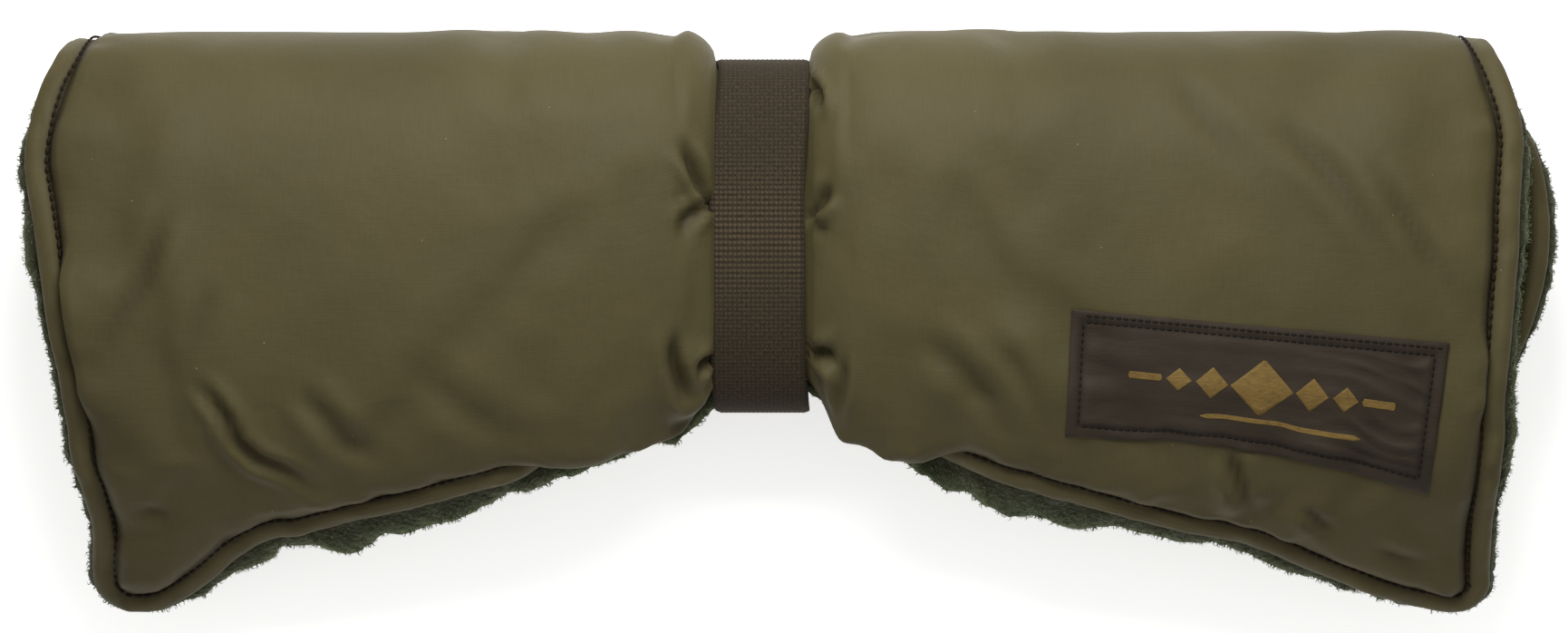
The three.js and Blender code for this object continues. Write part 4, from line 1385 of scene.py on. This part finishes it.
def over_front(spots):
    """Height of the right shell under each (x, y)."""
    shell = FABRICS["right"][0]
    keep = [face for face, flag in zip(shell.faces, shell.flags) if not flag]
    tree = BVHTree.FromPolygons(shell.points.tolist(), [tuple(face) for face in keep])
    heights = []
    for x, y in spots.reshape(-1, 2):
        hit = tree.ray_cast(Vector((x, y, 200.0)), Vector((0, 0, -1)))
        heights.append(hit[0].z)
    return np.array(heights).reshape(spots.shape[:-1])


def label_spot(u, v):
    """Label coordinates, u along and v down from 0 to 1, to (x, y)."""
    top = lerp(LABEL_CORNERS[0], LABEL_CORNERS[1], u[..., None])
    low = lerp(LABEL_CORNERS[3], LABEL_CORNERS[2], u[..., None])
    spot = lerp(top, low, v[..., None])
    bow = 3.4 * np.sin(math.pi * u) * v**2
    wavy = 0.9 * value_noise(np.stack([u * 14, v * 1.5, u * 0], -1), 1.0, SEED + 12) * (v > 0.5)
    spot[..., 1] += bow + wavy * smooth(v, 0.5, 1.0)
    spot[..., 0] = BAND_WIDTH / 2 + spot[..., 0]
    return spot


def label_height(u, v):
    """Puckers that run in from the label's outer end, and soft cockling between its seams."""
    x = np.stack([u * LABEL_LENGTH, v * LABEL_HEIGHT, u * 0], -1)
    inside = smooth(np.minimum(np.minimum(u, 1 - u) * LABEL_LENGTH, np.minimum(v, 1 - v) * LABEL_HEIGHT), 2.0, 7.0)
    wave = 0.5 + 0.5 * np.sin(2 * math.pi * (v * 8.0 - u * 2.2 + 0.9 * value_noise(x, 13, SEED + 13)))
    fan = 1.25 * wave**1.5 * smooth(u, 0.5, 0.92) * (0.55 + 0.45 * value_noise(x, 9, SEED + 19))
    fan_in = np.sin(2 * math.pi * (v * 3.4 + 0.2)) * (1 - smooth(u, 0.03, 0.25)) * 0.5
    cockle = 0.6 * value_noise(x * [0.4, 1.5, 1], 7, SEED + 14)
    edge_pull = 0.35 * value_noise(x, 5, SEED + 15)
    return (fan + fan_in + cockle) * inside + edge_pull * (1 - inside)


class Label:
    """The patch's upper surface as a grid that can be read at any u and v."""

    def __init__(self):
        self.u, self.v = np.linspace(0, 1, 181), np.linspace(0, 1, 73)
        u, v = np.meshgrid(self.u, self.v)
        spot = label_spot(u, v)
        ground = over_front(spot)
        for _ in range(6):
            soft = ground.copy()
            soft[1:-1, 1:-1] = (
                ground[1:-1, 1:-1] * 2 + ground[:-2, 1:-1] + ground[2:, 1:-1] + ground[1:-1, :-2] + ground[1:-1, 2:]
            ) / 6
            ground = np.maximum(soft, ground - 0.15)
        turned = np.minimum(np.minimum(u, 1 - u) * LABEL_LENGTH, np.minimum(v, 1 - v) * LABEL_HEIGHT)
        thick = LABEL_THICK * (0.55 + 0.45 * rounded(turned / 0.9))
        groove = 0.45 * np.exp(-(((turned - LABEL_INSET) / 0.9) ** 2))
        height = ground + 0.35 + thick + np.maximum(label_height(u, v), -0.3) - groove
        self.top = np.concatenate([spot, height[..., None]], -1)
        self.bottom = np.concatenate([spot, (ground + 0.05)[..., None]], -1)
        # Painted shade in the seam's groove and in the puckers' valleys.
        valley = 1 - smooth(label_height(u, v), -0.3, 0.7)
        self.painted_shade = np.clip(np.exp(-(((turned - LABEL_INSET) / 1.0) ** 2)) * 0.8 + valley * 0.5, 0, 1)

    def at(self, u, v, lift=0.0):
        """Points on the upper surface."""
        fu = np.clip(u, 0, 1) * (len(self.u) - 1)
        fv = np.clip(v, 0, 1) * (len(self.v) - 1)
        i, j = np.minimum(fv.astype(int), len(self.v) - 2), np.minimum(fu.astype(int), len(self.u) - 2)
        a, b = (fv - i)[..., None], (fu - j)[..., None]
        t = self.top
        spot = lerp(lerp(t[i, j], t[i, j + 1], b), lerp(t[i + 1, j], t[i + 1, j + 1], b), a)
        spot[..., 2] += lift
        return spot


def closed_slab(top, bottom):
    """Points and faces of the closed solid between two grids."""
    rows, columns = top.shape[:2]
    points = np.concatenate([top.reshape(-1, 3), bottom.reshape(-1, 3)])
    at = lambda layer, i, j: layer * rows * columns + i * columns + j
    faces = []
    for i in range(rows - 1):
        for j in range(columns - 1):
            faces.append((at(0, i, j), at(0, i + 1, j), at(0, i + 1, j + 1), at(0, i, j + 1)))
            faces.append((at(1, i, j), at(1, i, j + 1), at(1, i + 1, j + 1), at(1, i + 1, j)))
        for j, turn in ((0, 1), (columns - 1, -1)):
            faces.append((at(0, i, j), at(1, i, j), at(1, i + 1, j), at(0, i + 1, j))[::turn])
    for j in range(columns - 1):
        for i, turn in ((0, -1), (rows - 1, 1)):
            faces.append((at(0, i, j), at(1, i, j), at(1, i, j + 1), at(0, i, j + 1))[::turn])
    return points, faces


label = Label()
points, faces = closed_slab(label.top, label.bottom)
uv = np.stack([points[:, 0], points[:, 1]], 1)
patch = plain_piece("label_cloth", points, faces, LABEL, {"painted_shade": np.tile(label.painted_shade.ravel(), 2)}, uv)
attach(patch, "right_half")
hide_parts("label_patch")


def label_seams():
    """Straight seams inside the label's edges; the upper one is sewn twice."""
    du, dv = LABEL_INSET / LABEL_LENGTH, LABEL_INSET / LABEL_HEIGHT
    second = dv * 0.45
    return [
        ((du, dv), (1 - du, dv)),
        ((du, second), (1 - du * 0.4, second)),
        ((1 - du, dv), (1 - du, 1 - dv)),
        ((1 - du, 1 - dv), (du, 1 - dv)),
        ((du, 1 - dv), (du, dv)),
    ]


seams = []
for start, end in label_seams():
    line = np.linspace(start, end, 80)
    up = np.tile([0.0, 0.0, 1.0], (len(line), 1))
    seams.append(capsules(label.at(line[:, 0], line[:, 1], 0.05), up, 2.0, 1.6, 0.3)[:2])
sewn = plain_piece("label_stitches", *merged(seams), LABEL_THREAD)
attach(sewn, "right_half")
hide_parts("label_stitching")

# The print: diamonds on a bar, over a thinner bar

MOTIF_MIDDLE = (0.52, 0.47)
PRINT_RISE = 0.1


def motif_strip(middle_u, half_u, middle_v, half_v, columns=24):
    """A printed strip: half_v gives its half height against distance from its middle as a share of its length."""
    t = np.linspace(-1, 1, columns)
    height = np.maximum(half_v(np.abs(t)), 0.004)
    across = np.linspace(-1, 1, 9)[:, None]
    u = np.broadcast_to(middle_u + half_u * t, (9, columns))
    v = middle_v + across * height[None]
    return closed_slab(label.at(u, v, PRINT_RISE), label.at(u, v, -0.1))


def diamond(size):
    return lambda t: size * (1 - t)


def bar(size):
    return lambda t: size * rounded((1 - t) * 12)


MOTIF = [
    (0.0, 0.085, 0.0, diamond(0.23)),
    (-0.135, 0.044, 0.0, diamond(0.13)),
    (0.135, 0.044, 0.0, diamond(0.13)),
    (-0.225, 0.034, 0.0, diamond(0.095)),
    (0.225, 0.034, 0.0, diamond(0.095)),
    (-0.315, 0.045, 0.0, bar(0.028)),
    (0.315, 0.045, 0.0, bar(0.028)),
    (0.06, 0.22, 0.27, bar(0.02)),
]
strips = [motif_strip(MOTIF_MIDDLE[0] + du, half_u, MOTIF_MIDDLE[1] + dv, half_v) for du, half_u, dv, half_v in MOTIF]
printed = plain_piece("label_print", *merged(strips), PRINT)
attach(printed, "right_half")
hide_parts("label_motif")

# Floor, light and camera

scene = bpy.context.scene
scene.view_settings.view_transform = "Standard"
scene.view_settings.look = "None"

world = bpy.data.worlds.new("studio")
world.use_nodes = True
world.node_tree.nodes["Background"].inputs["Color"].default_value = (1.0, 0.99, 0.97, 1.0)
world.node_tree.nodes["Background"].inputs["Strength"].default_value = 0.48
scene.world = world

floor_mesh = bpy.data.meshes.new("floor")
FLOOR = 6.0
FLOOR_GLOW = 0.6
floor_mesh.from_pydata([(-FLOOR, -FLOOR, 0), (FLOOR, -FLOOR, 0), (FLOOR, FLOOR, 0), (-FLOOR, FLOOR, 0)], [], [(0, 1, 2, 3)])
floor = bpy.data.objects.new("floor", floor_mesh)
scene.collection.objects.link(floor)
n = Nodes("studio_floor")
paper = n.noise(n.place(), 0.02, 2.0)
n.shader.inputs["Emission Color"].default_value = (1, 1, 1, 1)
n.shader.inputs["Emission Strength"].default_value = FLOOR_GLOW
floor_mesh.materials.append(n.finish(n.mix(paper, srgb(246, 246, 245), srgb(249, 249, 248)), 0.9, specular=0.1))


def softbox(name, spot, target, size, power):
    lamp = bpy.data.lights.new(name, "AREA")
    lamp.shape = "RECTANGLE"
    lamp.size, lamp.size_y = size
    lamp.energy = power
    thing = bpy.data.objects.new(name, lamp)
    thing.location = spot
    thing.rotation_euler = (Vector(target) - Vector(spot)).to_track_quat("-Z", "Y").to_euler()
    scene.collection.objects.link(thing)


softbox("key", (0.0, 0.3, 0.4), (0, 0, 0.03), (0.35, 0.22), 2.6)

VIEW_MIDDLE = (-0.0021, 0.0023)
VIEW_WIDTH, VIEW_HEIGHT_Z = 0.4325, 0.040
LENS, SENSOR = 150.0, 36.0
camera = bpy.data.cameras.new("camera")
camera.lens, camera.sensor_width = LENS, SENSOR
camera_object = bpy.data.objects.new("camera", camera)
camera_object.location = (*VIEW_MIDDLE, VIEW_HEIGHT_Z + VIEW_WIDTH * LENS / SENSOR)
scene.collection.objects.link(camera_object)
scene.camera = camera_object
